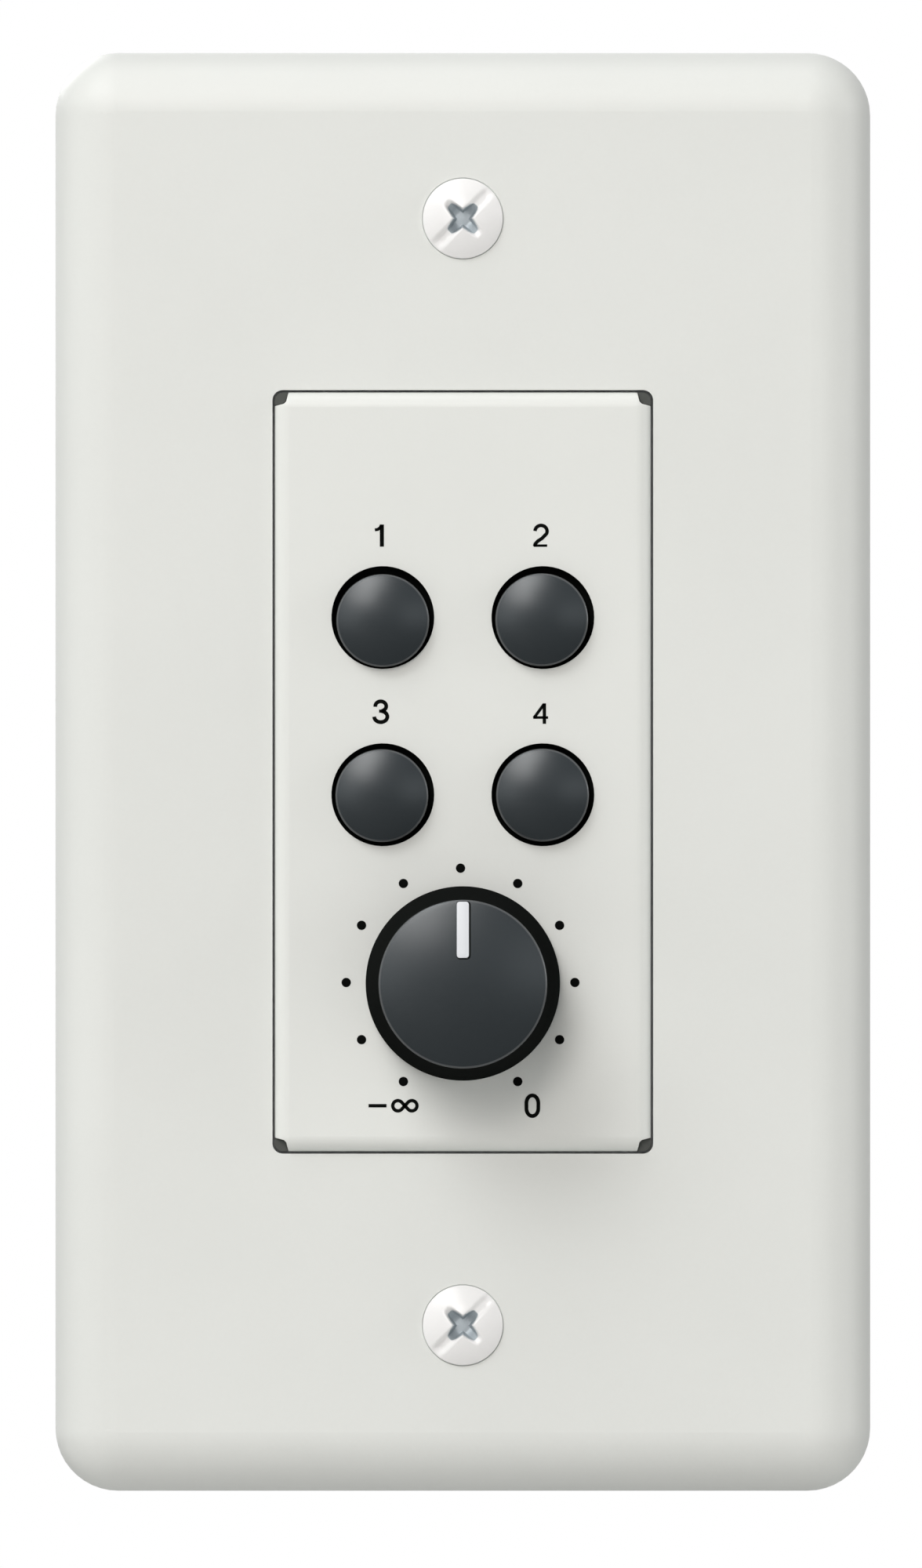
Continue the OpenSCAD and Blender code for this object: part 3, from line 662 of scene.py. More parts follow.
# Slot across the head, shallower at the rim
SLOT_HALF = 0.42
SLOT_SOFT = 0.26
SLOT_DEEP = 0.42
SLOT_RIM_DEEP = 0.12
SLOT_RUNOUT = 0.9
# Arms of the cross recess, narrower and shallower at their tips
ARM_HALF = 0.58
ARM_TIP_HALF = 0.26
ARM_SOFT = 0.17
ARM_REACH = 2.25
ARM_DEEP = 1.5
ARM_FLAT = 0.25
RECESS_FLOOR = 0.9
# Depths in the cross between which the enamel goes over to bare metal
BARE_FROM = 0.15
BARE_TO = 0.7
# Threaded shank
SHANK_R = 1.7
SHANK_CORE = 1.42
THREAD_PITCH = 0.794
THREAD_RUNOUT = 0.45
THREAD_STEPS = 12
# Parts of a turn at which a thread's flank begins and ends
CREST_FOOT = 0.1
CREST_TOP = 0.45
TIP_TAPER = 0.35


def head_cut(x, y):
    """Depth of slot and recess at a place on a screw head, and how bare its enamel is there."""
    along, across = (x + y) / math.sqrt(2), (y - x) / math.sqrt(2)
    inside = smooth_step(HEAD_R, HEAD_R - SLOT_RUNOUT, math.hypot(x, y))
    slot = SLOT_RIM_DEEP + (SLOT_DEEP - SLOT_RIM_DEEP) * inside
    slot *= smooth_step(SLOT_HALF + SLOT_SOFT, SLOT_HALF - SLOT_SOFT, abs(across))
    cross = 0
    for one, two in ((along, across), (across, along)):
        share = min(abs(one) / ARM_REACH, 1)
        half = ARM_HALF + (ARM_TIP_HALF - ARM_HALF) * share
        deep = ARM_DEEP * smooth_step(1, ARM_FLAT, share)
        cross = max(cross, deep * smooth_step(half + ARM_SOFT, half - ARM_SOFT, abs(two)))
    return max(slot, cross), smooth_step(BARE_FROM, BARE_TO, cross)


def turned_ring(shape, x, y, radius, z, paint, notched=False):
    """A plain ring of a screw, or one that dips where the slot runs out."""
    ring = []
    for angle in turns(HEAD_SEGMENTS):
        dx, dy = radius * math.cos(angle), radius * math.sin(angle)
        dip = head_cut(dx, dy)[0] if notched else 0
        ring.append(shape.add_point(wall(x + dx, y + dy, z - dip), paint))
    return ring


def thread_ring(shape, x, y, z, tip, cone_foot):
    """A ring of the shank: the thread runs out at the tip and under the head."""
    to_tip, to_cone = z - tip, cone_foot - z
    plain = 1 - smooth_step(0, THREAD_RUNOUT, to_cone)
    fade = smooth_step(0, THREAD_PITCH, to_tip) * smooth_step(0, THREAD_RUNOUT, to_cone)
    taper = TIP_TAPER * (1 - smooth_step(0, THREAD_PITCH, to_tip))
    ring = []
    for k, angle in enumerate(turns(HEAD_SEGMENTS)):
        phase = (z / THREAD_PITCH - k / HEAD_SEGMENTS) % 1
        crest = smooth_step(CREST_FOOT, CREST_TOP, phase)
        crest *= smooth_step(1 - CREST_FOOT, 1 - CREST_TOP, phase)
        radius = SHANK_CORE + (SHANK_R - SHANK_CORE) * max(crest * fade, plain) - taper
        place = wall(x + radius * math.cos(angle), y + radius * math.sin(angle), z)
        ring.append(shape.add_point(place, 1.0))
    return ring


def dome_ring(shape, x, y, radius):
    """A ring of the head's dome, sunk where the recess is. The middle is a single point."""
    ball = ball_radius(HEAD_R, HEAD_DOME)
    dome = PLATE_FACE + HEAD_RIM + HEAD_DOME - ball + math.sqrt(ball * ball - radius * radius)
    ring = []
    for angle in turns(HEAD_SEGMENTS if radius > 0 else 1):
        dx, dy = radius * math.cos(angle), radius * math.sin(angle)
        deep, bare = head_cut(dx, dy)
        z = max(dome - deep, PLATE_FACE - RECESS_FLOOR)
        ring.append(shape.add_point(wall(x + dx, y + dy, z), bare))
    return ring


def add_oval_screw(shape, x, y):
    """One oval head screw: a bare threaded shank, a cone, an enamelled rim and a domed head."""
    tip = span("plate_screws")[0].z
    cone_foot = PLATE_FACE - SINK_DEEP
    count = int((cone_foot - tip) / THREAD_PITCH * THREAD_STEPS)
    rings = [
        thread_ring(shape, x, y, tip + (cone_foot - tip) * i / count, tip, cone_foot)
        for i in range(count + 1)
    ]
    rim_top = PLATE_FACE + HEAD_RIM - RIM_SOFT
    rings.append(turned_ring(shape, x, y, HEAD_R - RIM_SOFT, PLATE_FACE - RIM_SOFT, 1.0))
    rings.append(turned_ring(shape, x, y, HEAD_R, PLATE_FACE + RIM_SOFT, 0.0))
    rings.append(turned_ring(shape, x, y, HEAD_R, rim_top, 0.0, notched=True))
    rings.append(dome_ring(shape, x, y, HEAD_R - RIM_SOFT))
    for i in range(1, DOME_STEPS + 1):
        rings.append(dome_ring(shape, x, y, HEAD_R * (1 - i / DOME_STEPS)))
    shape.add_rings(rings)


screws = Shape()
screw_y = span("plate_screws")[1].y - HEAD_R
for y in (-screw_y, screw_y):
    add_oval_screw(screws, 0, y)
screws.piece("oval_screws", [screw_white], "screw_white", replaced=["plate_screws"])


# Turned caps, for the push buttons and the volume dial

# Points at the rim's lower and upper end that stay unpainted, without the painted highlight
RIM_PLAIN_LOW = 2
RIM_PLAIN_HIGH = 1


def turned_cap(inside, side_foot, edge, top, rounding, place, segments, steps=14):
    """A cap with a round rim and a crown on its turned inside, and its outer profile.

    The inside and the side take the second finish. The rim is painted, apart from its first and
    last points, and the first finish shows that paint as a painted highlight along the rim.
    """
    rim = fillet(side_foot, edge, (0, top), rounding)
    outside = [tuple(p) for p in rim]
    outside += crown(rim[-1].x, top - rim[-1].y, rim[-1].y, steps)[1:]
    profile = inside + outside
    start = len(inside)
    highlighted = range(start + RIM_PLAIN_LOW, start + len(rim) - RIM_PLAIN_HIGH)
    paints = [1.0 if k in highlighted else 0.0 for k in range(len(profile))]
    slots = [0 if k > start else 1 for k in range(len(profile))]
    cap = Shape()
    cap.lathe(profile, place, segments, slots, paints)
    return cap, outside


# Push buttons

CAP_R = 4.15
CAP_TOP_R = 4.05
CAP_RIM = 0.2
CAP_CROWN = 0.45
CAP_LIP_T = 1.0
CAP_LIP_DROP = 2.05
CAP_SEGMENTS = 96
SOCKET_R = 1.8
SOCKET_L = 2.85
STEM_R = 2.85

for i in BUTTONS:
    name = f"button_cap_{i}"
    low, high = span(name)
    middle = centre(name)
    lip_r = (high.x - low.x) / 2
    lip_top = FACE - CAP_LIP_DROP
    lip_foot = lip_top - CAP_LIP_T
    socket_top = low.z + SOCKET_L
    inside = [
        (0, socket_top),
        (SOCKET_R, socket_top),
        (SOCKET_R, low.z),
        (STEM_R, low.z),
        (STEM_R, lip_foot),
        (lip_r, lip_foot),
        (lip_r, lip_top),
        (CAP_R, lip_top),
    ]
    cap, _ = turned_cap(
        inside,
        side_foot=(CAP_R, lip_top),
        edge=(CAP_TOP_R, high.z - CAP_CROWN),
        top=high.z,
        rounding=CAP_RIM,
        place=upright(middle.x, middle.y),
        segments=CAP_SEGMENTS,
    )
    cap.piece(
        f"push_button_{i}",
        [button_black, matt_black],
        "button_black",
        f"button_{i}",
        [name],
    )


# Snap domes, the springs under the buttons, each with a mesh of its own

DOME_T = 0.1
DOME_SEGMENTS = 64

for i in BUTTONS:
    name = f"switch_dome_{i}"
    low, high = span(name)
    middle = centre(name)
    dome_r = (high.x - low.x) / 2
    rise = high.z - low.z - DOME_T
    profile = crown(dome_r - DOME_T, rise, low.z)[::-1]
    profile += [(dome_r, low.z)]
    profile += crown(dome_r, rise, low.z + DOME_T)
    dome = Shape()
    dome.lathe(profile, upright(middle.x, middle.y), DOME_SEGMENTS)
    flexed = dome.piece(f"snap_dome_{i}", [spring_steel], "spring_steel", replaced=[name])
    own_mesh(flexed)


# Volume dial

DIAL_TOP_R = 7.34
DIAL_CROWN = 0.6
DIAL_RIM = 0.22
DIAL_WALL = 1.6
DIAL_ROOF = 2.4
DIAL_CHAMFER = 0.25
DIAL_SEGMENTS = 160
DIAL_STEPS = 20
HUB_R = 4.4
HUB_LIFT = 0.5
HUB_GROOVE = 0.3
BORE_R = 3.05
BORE_SPARE = 0.4
CLIP_GAP = 0.05

foot, top = KNOB_LOW.z, KNOB_HIGH.z
dial_r = (KNOB_HIGH.x - KNOB_LOW.x) / 2
edge = top - DIAL_CROWN
roof = edge - DIAL_ROOF
hub_foot = foot + HUB_LIFT
bore_top = span("pot_shaft")[1].z + BORE_SPARE
groove_r = HUB_R - HUB_GROOVE
groove_low = span("knob_clip")[0].z - CLIP_GAP
groove_high = span("knob_clip")[1].z + CLIP_GAP
inside = [
    (0, bore_top),
    (BORE_R, bore_top),
    (BORE_R, hub_foot),
    (HUB_R, hub_foot),
    (HUB_R, groove_low),
    (groove_r, groove_low),
    (groove_r, groove_high),
    (HUB_R, groove_high),
    (HUB_R, roof),
    (DIAL_TOP_R - DIAL_WALL, roof),
    (dial_r - DIAL_WALL, foot),
    (dial_r - DIAL_CHAMFER, foot),
    (dial_r, foot + DIAL_CHAMFER),
]
dial, dial_top = turned_cap(
    inside,
    side_foot=(dial_r, foot),
    edge=(DIAL_TOP_R, edge),
    top=top,
    rounding=DIAL_RIM,
    place=upright(KNOB.x, KNOB.y),
    segments=DIAL_SEGMENTS,
    steps=DIAL_STEPS,
)
dial.piece("volume_dial", [knob_black, matt_black], "knob_black", "volume", ["volume_knob"])


def dial_height(radius):
    """Height of the dial's top at that distance from its axis."""
    for (far, low), (near, high) in zip(dial_top, dial_top[1:]):
        if near <= radius <= far:
            return low + (high - low) * (far - radius) / max(far - near, TINY)
    return dial_top[0][1]


# Pointer let into the dial's top, with a dark line around it that is the painted shadow in its
# pocket

POINTER_HALF = 0.53
POINTER_TIP = 7.19
POINTER_L = 4.9
POINTER_LIFT = 0.03
POINTER_EDGE = 0.05
POINTER_SUNK = 0.4
POINTER_CORNER = 0.26
POINTER_STATIONS = 12
CORNER_LEAST = 0.02
CORNER_STEPS = 6
# Painted shadow of the pocket: a dark band this wide around the pointer, shifted to the lower right
# and lying just above the dial's top
POCKET_SHADE_GAP = 0.1
POCKET_SHADE_OFF = (0.06, -0.04)
POCKET_SHADE_LIFT = 0.006


def inlay_ring(shape, inset, lift, off):
    """A round cornered outline on the dial's top: up its right side, then down its left."""
    half = POINTER_HALF - inset
    low, high = POINTER_TIP - POINTER_L + inset, POINTER_TIP - inset
    corner = max(POINTER_CORNER - inset, CORNER_LEAST)
    straight = high - low - 2 * corner
    right = arc(half - corner, low + corner, corner, corner, 270, 360, CORNER_STEPS)
    for k in range(1, POINTER_STATIONS):
        right.append(Vector((half, low + corner + straight * k / POINTER_STATIONS)))
    right += arc(half - corner, high - corner, corner, corner, 0, 90, CORNER_STEPS)
    ring = []
    for point in right + [Vector((-p.x, p.y)) for p in reversed(right)]:
        place = point + Vector(off)
        height = dial_height(place.length) + lift
        ring.append(shape.add_point(wall(KNOB.x + place.x, KNOB.y + place.y, height)))
    return ring


def inlay(name, finish, slot, levels, off=(0, 0), replaced=()):
    """A piece in the dial's top. Its (inset, lift) levels are outlines, from its foot upwards.

    Strips from side to side close it, so that it follows the dial's crown.
    """
    shape = Shape()
    rings = [inlay_ring(shape, inset, lift, off) for inset, lift in levels]
    shape.add_rings(rings, caps=(True, False))
    half = len(rings[-1]) // 2
    right, left = rings[-1][:half], rings[-1][half:][::-1]
    for k in range(half - 1):
        shape.add_face([right[k], right[k + 1], left[k + 1], left[k]])
    shape.piece(name, [finish], slot, "volume", replaced)


pointer_levels = [
    (0, -POINTER_SUNK),
    (0, POINTER_LIFT - POINTER_EDGE / 2),
    (POINTER_EDGE / 3, POINTER_LIFT - POINTER_EDGE / 6),
    (POINTER_EDGE, POINTER_LIFT),
]
# The dark band is painted shadow: a sheet on the dial's top where the pocket lies in shade
pocket_shade_levels = [(-POCKET_SHADE_GAP, -POINTER_SUNK), (-POCKET_SHADE_GAP, POCKET_SHADE_LIFT)]
inlay("dial_pointer", pointer_white, "pointer_white", pointer_levels, replaced=["knob_pointer"])
inlay("pointer_pocket_shade", matt_black, "knob_black", pocket_shade_levels, POCKET_SHADE_OFF)


# Print on the fascia

PRINT_T = 0.015
NUMERAL_H = 2.0
INK_SPREAD = 1.2
UPPER_LINE = 19.7
LOWER_LINE = 4.2
SIGN_LINE = -30.16
SIGN_Y = -29.2
SIGN_STROKE = 0.3
MINUS_X = (-8.25, -6.67)
LOOP_X = -5.07
LOOP_R = 0.45
LOOP_APART = 0.61
LOOP_TURN = 143
LOOP_STEPS = 24
DOT_R = 0.41
DOT_RING = 10.0
DOT_STEP = 30
DOT_X = -0.2
DOT_LIFT = 0.08
DOT_Y = KNOB.y + DOT_LIFT
DOT_SEGMENTS = 32
DOTS_EACH_SIDE = 5


def stroke(*points):
    """A straight or bent line through those points."""
    return [Vector(point) for point in points]


# Each numeral's strokes as (width in millimetres, path), in a box one unit high on its base line
ROUND_TWO = arc(0.02, 0.674, 0.265, 0.255, 178, -25)
ROUND_TWO += stroke((0.06, 0.36), (-0.13, 0.235), (-0.235, 0.12), (-0.265, 0.01))
NUMERALS = {
    "0": [(0.28, arc(0, 0.6, 0.26, 0.33, 0, 180) + arc(0, 0.36, 0.26, 0.33, 180, 360))],
    "1": [
        (0.3, stroke((0.07, 0), (0.07, 0.97))),
        (0.22, stroke((-0.24, 0.735), (-0.11, 0.75), (0, 0.835), (0.05, 0.95))),
    ],
    "2": [(0.26, ROUND_TWO), (0.18, stroke((-0.3, 0.045), (0.29, 0.045)))],
    "3": [
        (0.28, arc(-0.01, 0.773, 0.24, 0.213, 188, -78)),
        (0.24, stroke((-0.085, 0.555), (0.06, 0.555))),
        (0.28, arc(-0.01, 0.316, 0.29, 0.242, 80, -180)),
    ],
    "4": [
        (0.25, stroke((0.165, 0), (0.165, 0.9))),
        (0.19, stroke((-0.32, 0.277), (0.33, 0.277))),
        (0.22, stroke((-0.29, 0.26), (0.15, 0.86))),
    ],
}
CLOSED_NUMERALS = ("0",)

# Middle and base line of each numeral
NUMERAL_PLACES = {
    "1": (-7.22, UPPER_LINE),
    "2": (6.8, UPPER_LINE),
    "3": (-7.16, LOWER_LINE),
    "4": (6.8, LOWER_LINE),
    "0": (6.08, SIGN_LINE),
}

marks = Shape()


def print_line(path, width, closed=False):
    """A line of ink along a path on the fascia."""
    marks.ribbon(path, width, FACE, FACE + PRINT_T, closed)


for sign, place in NUMERAL_PLACES.items():
    for width, path in NUMERALS[sign]:
        placed = [Vector(place) + point * NUMERAL_H for point in path]
        print_line(placed, INK_SPREAD * width, sign in CLOSED_NUMERALS)
print_line([Vector((x, SIGN_Y)) for x in MINUS_X], SIGN_STROKE)
loop = arc(LOOP_X + LOOP_APART, SIGN_Y, LOOP_R, LOOP_R, LOOP_TURN, -LOOP_TURN, LOOP_STEPS)
loop += arc(
    LOOP_X - LOOP_APART, SIGN_Y, LOOP_R, LOOP_R, 180 - LOOP_TURN, 180 + LOOP_TURN, LOOP_STEPS
)
print_line(loop, SIGN_STROKE, True)
dot_profile = [(0, FACE), (DOT_R, FACE), (DOT_R, FACE + PRINT_T), (0, FACE + PRINT_T)]
for k in range(-DOTS_EACH_SIDE, DOTS_EACH_SIDE + 1):
    angle = math.radians(DOT_STEP * k)
    place = upright(DOT_X + DOT_RING * math.sin(angle), DOT_Y + DOT_RING * math.cos(angle))
    marks.lathe(dot_profile, place, DOT_SEGMENTS)
marks.piece("printed_marks", [ink], "button_black")


# Resistors with bent leads

RESISTOR_L = 6.4
RESISTOR_R = 1.15
RESISTOR_WAIST = 0.96
RESISTOR_END = 1.6
RESISTOR_ROUND = 0.5
RESISTOR_TIP = 0.4
RESISTOR_STEPS = 48
RESISTOR_SEGMENTS = 40
SWELL_BEFORE = 0.5
SWELL_AFTER = 0.3
LEAD_R = 0.28
LEAD_X = 5.1
LEAD_BEND = 0.6
LEAD_BEND_STEPS = 8
LEAD_INSIDE = 0.3
RESISTORS = 4
low, high = span("board_resistors")
RESISTOR_Z = low.z + RESISTOR_R
RESISTOR_Y = high.y - RESISTOR_R
RESISTOR_PITCH = (RESISTOR_Y - low.y - RESISTOR_R) / (RESISTORS - 1)
resistor_rows = [RESISTOR_Y - i * RESISTOR_PITCH for i in range(RESISTORS)]


def resistor_radius(along):
    """Swollen ends, a narrow middle and round shoulders that end in flat tips."""
    swell_from = RESISTOR_L / 2 - RESISTOR_END
    swell = smooth_step(swell_from - SWELL_BEFORE, swell_from + SWELL_AFTER, abs(along))
    body = RESISTOR_WAIST + (RESISTOR_R - RESISTOR_WAIST) * swell
    past = max(0, abs(along) - RESISTOR_L / 2 + RESISTOR_ROUND) / RESISTOR_ROUND
    return body * (RESISTOR_TIP + (1 - RESISTOR_TIP) * math.sqrt(1 - past * past))


resistor_profile = [(0, -RESISTOR_L / 2)]
for k in range(RESISTOR_STEPS + 1):
    along = RESISTOR_L * (k / RESISTOR_STEPS - 0.5)
    resistor_profile.append((resistor_radius(along), along))
resistor_profile.append((0, RESISTOR_L / 2))
lead = [Vector((RESISTOR_L / 2 - LEAD_INSIDE, RESISTOR_Z))]
lead += arc(
    LEAD_X - LEAD_BEND, RESISTOR_Z + LEAD_BEND, LEAD_BEND, LEAD_BEND, -90, 0, LEAD_BEND_STEPS
)
lead += [Vector((LEAD_X, BOARD_FRONT))]

resistors = Shape()
for y in resistor_rows:
    resistors.lathe(resistor_profile, lying(y, RESISTOR_Z), RESISTOR_SEGMENTS)
    for side in (-1, 1):
        resistors.tube([Vector((side * p.x, y, p.y)) for p in lead], LEAD_R, slot=1)
resistors.piece(
    "axial_resistors",
    [resistor_tan, tinned_pin],
    "resistor_tan",
    replaced=["board_resistors"],
)


# Solder on the board's joints

PIN_R = 0.4
SWITCH_PIN_X = 2.6
SWITCH_PIN_Y = 2.1
POT_PIN_PITCH = 2.5
POLES = 8
POLE_PITCH = 3.5
POT_PIN_Y = centre("pot_terminals").y
BLOCK_PIN_Y = centre("terminal_pins").y
PAD_R = 0.95
PAD_T = 0.04
PAD_RIM = 0.06
SOLDER_H = 0.75
SOLDER_TIP = 0.03
SOLDER_FLARE = 2.4
SOLDER_STEPS = 8
SOLDER_SEGMENTS = 28
PIN_SKIN = 0.02
LEAD_SKIN = 0.03
LEAD_FOOT_R = LEAD_R / 2

switch_places = [centre(f"switch_plunger_{i}").xy for i in BUTTONS]
switch_pins = [
    place + Vector((x * SWITCH_PIN_X, y * SWITCH_PIN_Y))
    for place in switch_places
    for x in (-1, 1)
    for y in (-1, 1)
]
pot_pins = [Vector((i * POT_PIN_PITCH, POT_PIN_Y)) for i in (-1, 0, 1)]
block_pins = [Vector(((i - (POLES - 1) / 2) * POLE_PITCH, BLOCK_PIN_Y)) for i in range(POLES)]
lead_ends = [Vector((side * LEAD_X, y)) for y in resistor_rows for side in (-1, 1)]


def add_solder(shape, place, face, out, pin):
    """A pad with a cone of solder that climbs its pin; out is 1 towards the viewer, -1 away."""
    profile = [(0, 0), (PAD_R, 0), (PAD_R, PAD_T)]
    for k in range(SOLDER_STEPS + 1):
        share = k / SOLDER_STEPS
        radius = pin + (PAD_R - PAD_RIM - pin) * (1 - share) ** SOLDER_FLARE
        profile.append((radius, PAD_T + SOLDER_H * share))
    profile.append((0, PAD_T + SOLDER_H + SOLDER_TIP))
    profile = [(radius, face + out * height) for radius, height in profile]
    shape.lathe(
        profile if out > 0 else profile[::-1], upright(place.x, place.y), SOLDER_SEGMENTS
    )


joints = Shape()
for place in switch_pins + pot_pins:
    add_solder(joints, place, BOARD_BACK, -1, PIN_R + PIN_SKIN)
for place in block_pins:
    add_solder(joints, place, BOARD_FRONT, 1, PIN_R + PIN_SKIN)
for place in lead_ends:
    add_solder(joints, place, BOARD_BACK, -1, LEAD_R + LEAD_SKIN)
    add_solder(joints, place, BOARD_FRONT, 1, LEAD_FOOT_R)
joints.piece("solder_joints", [solder], "tinned_pin")


# Copper tracks and white outlines on the back of the board

TRACK_W = 0.6
TRACK_T = 0.035
TRUNK_W = 1.5 * TRACK_W
TRUNK_T = 1.4 * TRACK_T
TRACK_STEP = 2.0
LANE_MARGIN = 0.7
LANE_X = BOARD_EDGE - LANE_MARGIN
LEGEND_W = 0.18
LEGEND_T = 0.02
RESISTOR_MARGIN = 0.3
ROW_MARGIN = 0.16
SWITCH_MARGIN = 1.3
POT_MARGIN = 1.4

tracks = Shape()


def track(*points, width=TRACK_W, thick=TRACK_T):
    """A copper track through those points on the back of the board."""
    tracks.ribbon([Vector(p) for p in points], width, BOARD_BACK - thick, BOARD_BACK)


one, two, three, four = switch_places
row = resistor_rows
trunk_foot = three.y - SWITCH_PIN_Y - TRACK_W
track((0, BLOCK_FOOT), (0, trunk_foot), width=TRUNK_W, thick=TRUNK_T)
for place in switch_places:
    inner = place.x - math.copysign(SWITCH_PIN_X, place.x)
    for y in (place.y - SWITCH_PIN_Y, place.y + SWITCH_PIN_Y):
        track((0, y), (inner, y))
# From each switch to its resistor. The upper two go round the lower two, on a lane further out.
for place, target, aside in (
    (three, row[0], 0),
    (four, row[2], 0),
    (one, row[1], TRACK_STEP),
    (two, row[3], TRACK_STEP),
):
    side = math.copysign(1, place.x)
    outer = place.x + side * SWITCH_PIN_X
    lane = outer + side * aside
    start = place.y - SWITCH_PIN_Y
    way_out = [(outer, start), (lane, start - aside)] if aside else [(outer, start)]
    track(
        *way_out,
        (lane, target + TRACK_STEP),
        (lane - side * TRACK_STEP, target),
        (side * LEAD_X, target),
    )
for pin, side in ((pot_pins[0], -1), (pot_pins[2], 1)):
    track(
        (pin.x, pin.y),
        (pin.x, pin.y - TRACK_STEP),
        (pin.x + side * TRACK_STEP, pin.y - 2 * TRACK_STEP),
        (side * (LANE_X - TRACK_STEP), pin.y - 2 * TRACK_STEP),
        (side * LANE_X, pin.y - TRACK_STEP),
        (side * LANE_X, BLOCK_FOOT),
    )
track(pot_pins[1], (0, row[3] - TRACK_STEP), (0, row[0] + TRACK_STEP))
tracks.piece("board_tracks", [board_copper], "board_green")

legend = Shape()


def outline(x, y, half_x, half_y):
    """A white rectangle around that place on the back of the board."""
    signs = ((-1, -1), (1, -1), (1, 1), (-1, 1))
    corners = [Vector((x + a * half_x, y + b * half_y)) for a, b in signs]
    legend.ribbon(corners, LEGEND_W, BOARD_BACK - LEGEND_T, BOARD_BACK, True)


for y in row:
    outline(0, y, RESISTOR_L / 2 + RESISTOR_MARGIN, RESISTOR_PITCH / 2 - ROW_MARGIN)
for place in switch_places:
    outline(place.x, place.y, SWITCH_PIN_X + SWITCH_MARGIN, SWITCH_PIN_Y + SWITCH_MARGIN)
outline(0, POT_PIN_Y, POT_PIN_PITCH + POT_MARGIN, POT_MARGIN)
legend.piece("board_legend", [legend_white], "board_green")


# Ejector marks on the inside of the plate

MARK_R = 2.2
MARK_W = 0.25
MARK_T = 0.05
MARK_STEPS = 48
# Height of the plate's inner face
PLATE_INSIDE = 3.8
SIDE_MARKS_X = (-30.5, 30.5)
SIDE_MARKS_Y = (-52, -17, 17, 52)
END_MARKS_X = (-17, 17)
END_MARKS_Y = (-56, 56)
mark_places = [(x, y) for x in SIDE_MARKS_X for y in SIDE_MARKS_Y]
mark_places += [(x, y) for x in END_MARKS_X for y in END_MARKS_Y]
ejectors = Shape()
for x, y in mark_places:
    circle = arc(x, y, MARK_R, MARK_R, 0, 360, MARK_STEPS)[:-1]
    ejectors.ribbon(circle, MARK_W, PLATE_INSIDE - MARK_T, PLATE_INSIDE, True)
ejectors.piece("ejector_marks", [plate_white], "plate_white")


# Camera: how far it is and sees in metres, and its view in millimetres

CAMERA_AWAY = 3.0
CAMERA_FAR = 50
VIEW_HEIGHT = 137.46
VIEW_X = -0.16
VIEW_Y = -1.06
SENSOR = 36

camera = show("camera", bpy.data.cameras.new("camera"))
camera.data.sensor_width = SENSOR
camera.data.lens = SENSOR * CAMERA_AWAY / (VIEW_HEIGHT * MM)
camera.data.clip_end = CAMERA_FAR
camera.location = (VIEW_X * MM, -CAMERA_AWAY, VIEW_Y * MM)
camera.rotation_euler = (math.radians(90), 0, 0)
bpy.context.scene.camera = camera


# Lights, in metres and watts

LAMP_AWAY = 4
GLINT_AWAY = 3
WARM = (1, 0.94, 0.905)
AMBIENT = 0.03


def softbox(name, direction, away, size, watts, colour=(1, 1, 1)):
    """A square lamp that faces the panel from that direction of Blender's axes."""
    lamp = bpy.data.lights.new(name, "AREA")
    lamp.color = colour
    lamp.shape = "SQUARE"
    lamp.size = size
    lamp.energy = watts
    towards = Vector(direction).normalized()
    thing = show(name, lamp)
    thing.location = towards * away
    thing.rotation_euler = towards.to_track_quat("Z", "Y").to_euler()


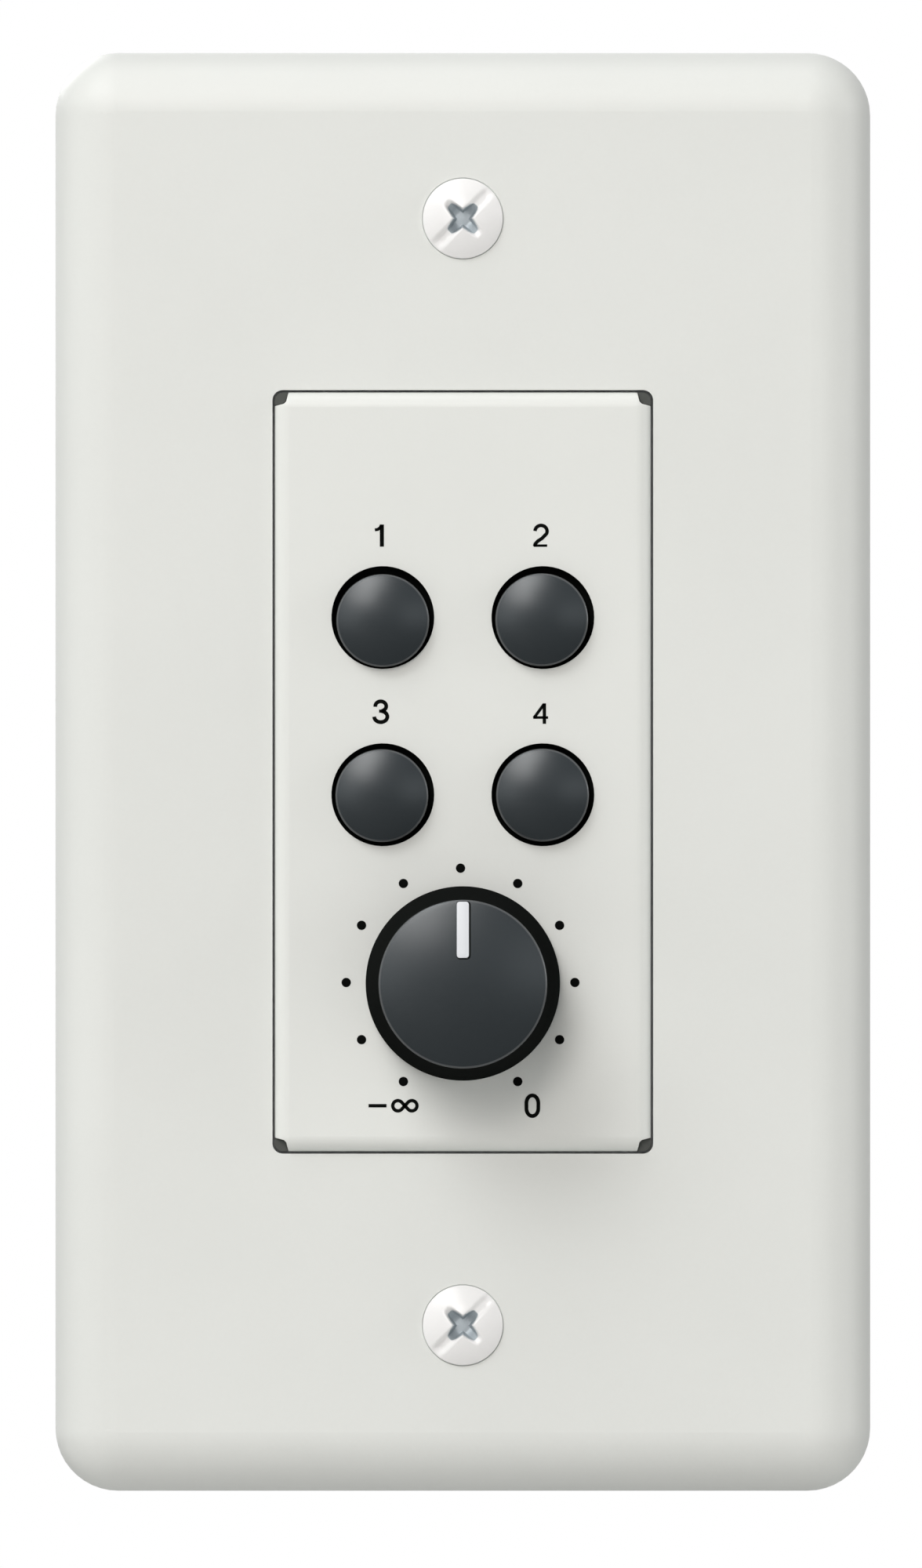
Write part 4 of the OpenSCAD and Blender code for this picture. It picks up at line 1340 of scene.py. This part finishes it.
softbox("key_light", (-0.55, -0.52, 0.65), LAMP_AWAY, size=2.2, watts=37.5)
softbox("top_light", (-0.2, -0.1, 0.97), LAMP_AWAY, size=2.6, watts=44)
softbox("high_light", (-0.32, -0.66, 0.68), LAMP_AWAY, size=1.6, watts=36)
softbox("left_light", (-0.97, -0.14, 0.2), LAMP_AWAY, size=2.2, watts=10)
softbox("right_fill", (0.98, -0.12, 0.15), LAMP_AWAY, size=1.6, watts=38)
softbox("back_light", (-0.38, 0.82, 0.42), LAMP_AWAY, size=1.6, watts=46)
softbox("glint_high", (-0.1, -0.89, 0.45), GLINT_AWAY, size=0.75, watts=10.8, colour=WARM)
softbox("glint_middle", (-0.21, -0.92, 0.32), GLINT_AWAY, size=0.8, watts=13, colour=WARM)
softbox("glint_low", (-0.18, -0.95, 0.22), GLINT_AWAY, size=0.5, watts=1.6, colour=WARM)
softbox("glint_left", (-0.36, -0.93, 0.08), GLINT_AWAY, size=0.8, watts=2.7)
softbox("glint_right", (0.33, -0.94, 0.02), GLINT_AWAY, size=0.9, watts=2.5)


# Background: white where it is seen, directly or in a reflection, and otherwise a faint light

world = bpy.data.worlds.new("studio")
world.use_nodes = True
bpy.context.scene.world = world
sky = world.node_tree
sky.nodes.clear()
light_path = sky.nodes.new("ShaderNodeLightPath")
seen = light_path.outputs["Is Camera Ray"]
for ray in ("Is Glossy Ray", "Is Transmission Ray"):
    either = sky.nodes.new("ShaderNodeMath")
    either.operation = "MAXIMUM"
    sky.links.new(seen, either.inputs[0])
    sky.links.new(light_path.outputs[ray], either.inputs[1])
    seen = either.outputs[0]
level = sky.nodes.new("ShaderNodeMapRange")
level.inputs["To Min"].default_value = AMBIENT
level.inputs["To Max"].default_value = 1.0
sky.links.new(seen, level.inputs["Value"])
background = sky.nodes.new("ShaderNodeBackground")
background.inputs["Color"].default_value = (1, 1, 1, 1)
sky.links.new(level.outputs["Result"], background.inputs["Strength"])
surface = sky.nodes.new("ShaderNodeOutputWorld")
sky.links.new(background.outputs[0], surface.inputs["Surface"])


# Floor below the panel, which throws light up at it

FLOOR_Y = -120
FLOOR_HALF = 6000
FLOOR_BACK = -1900
FLOOR_FRONT = 8000
floor_pale = moulded("floor_pale", (0.61, 0.61, 0.6), (0.59, 0.59, 0.58), rough=0.7, grain=2.0)
floor_corners = [
    (-FLOOR_HALF, FLOOR_FRONT),
    (FLOOR_HALF, FLOOR_FRONT),
    (FLOOR_HALF, FLOOR_BACK),
    (-FLOOR_HALF, FLOOR_BACK),
]
floor_mesh = bpy.data.meshes.new("floor")
floor_mesh.from_pydata([wall(x, FLOOR_Y, z) for x, z in floor_corners], [], [(0, 1, 2, 3)])
floor_mesh.materials.append(floor_pale.material)
floor = show("floor", floor_mesh)

bpy.context.scene.view_settings.view_transform = "Standard"
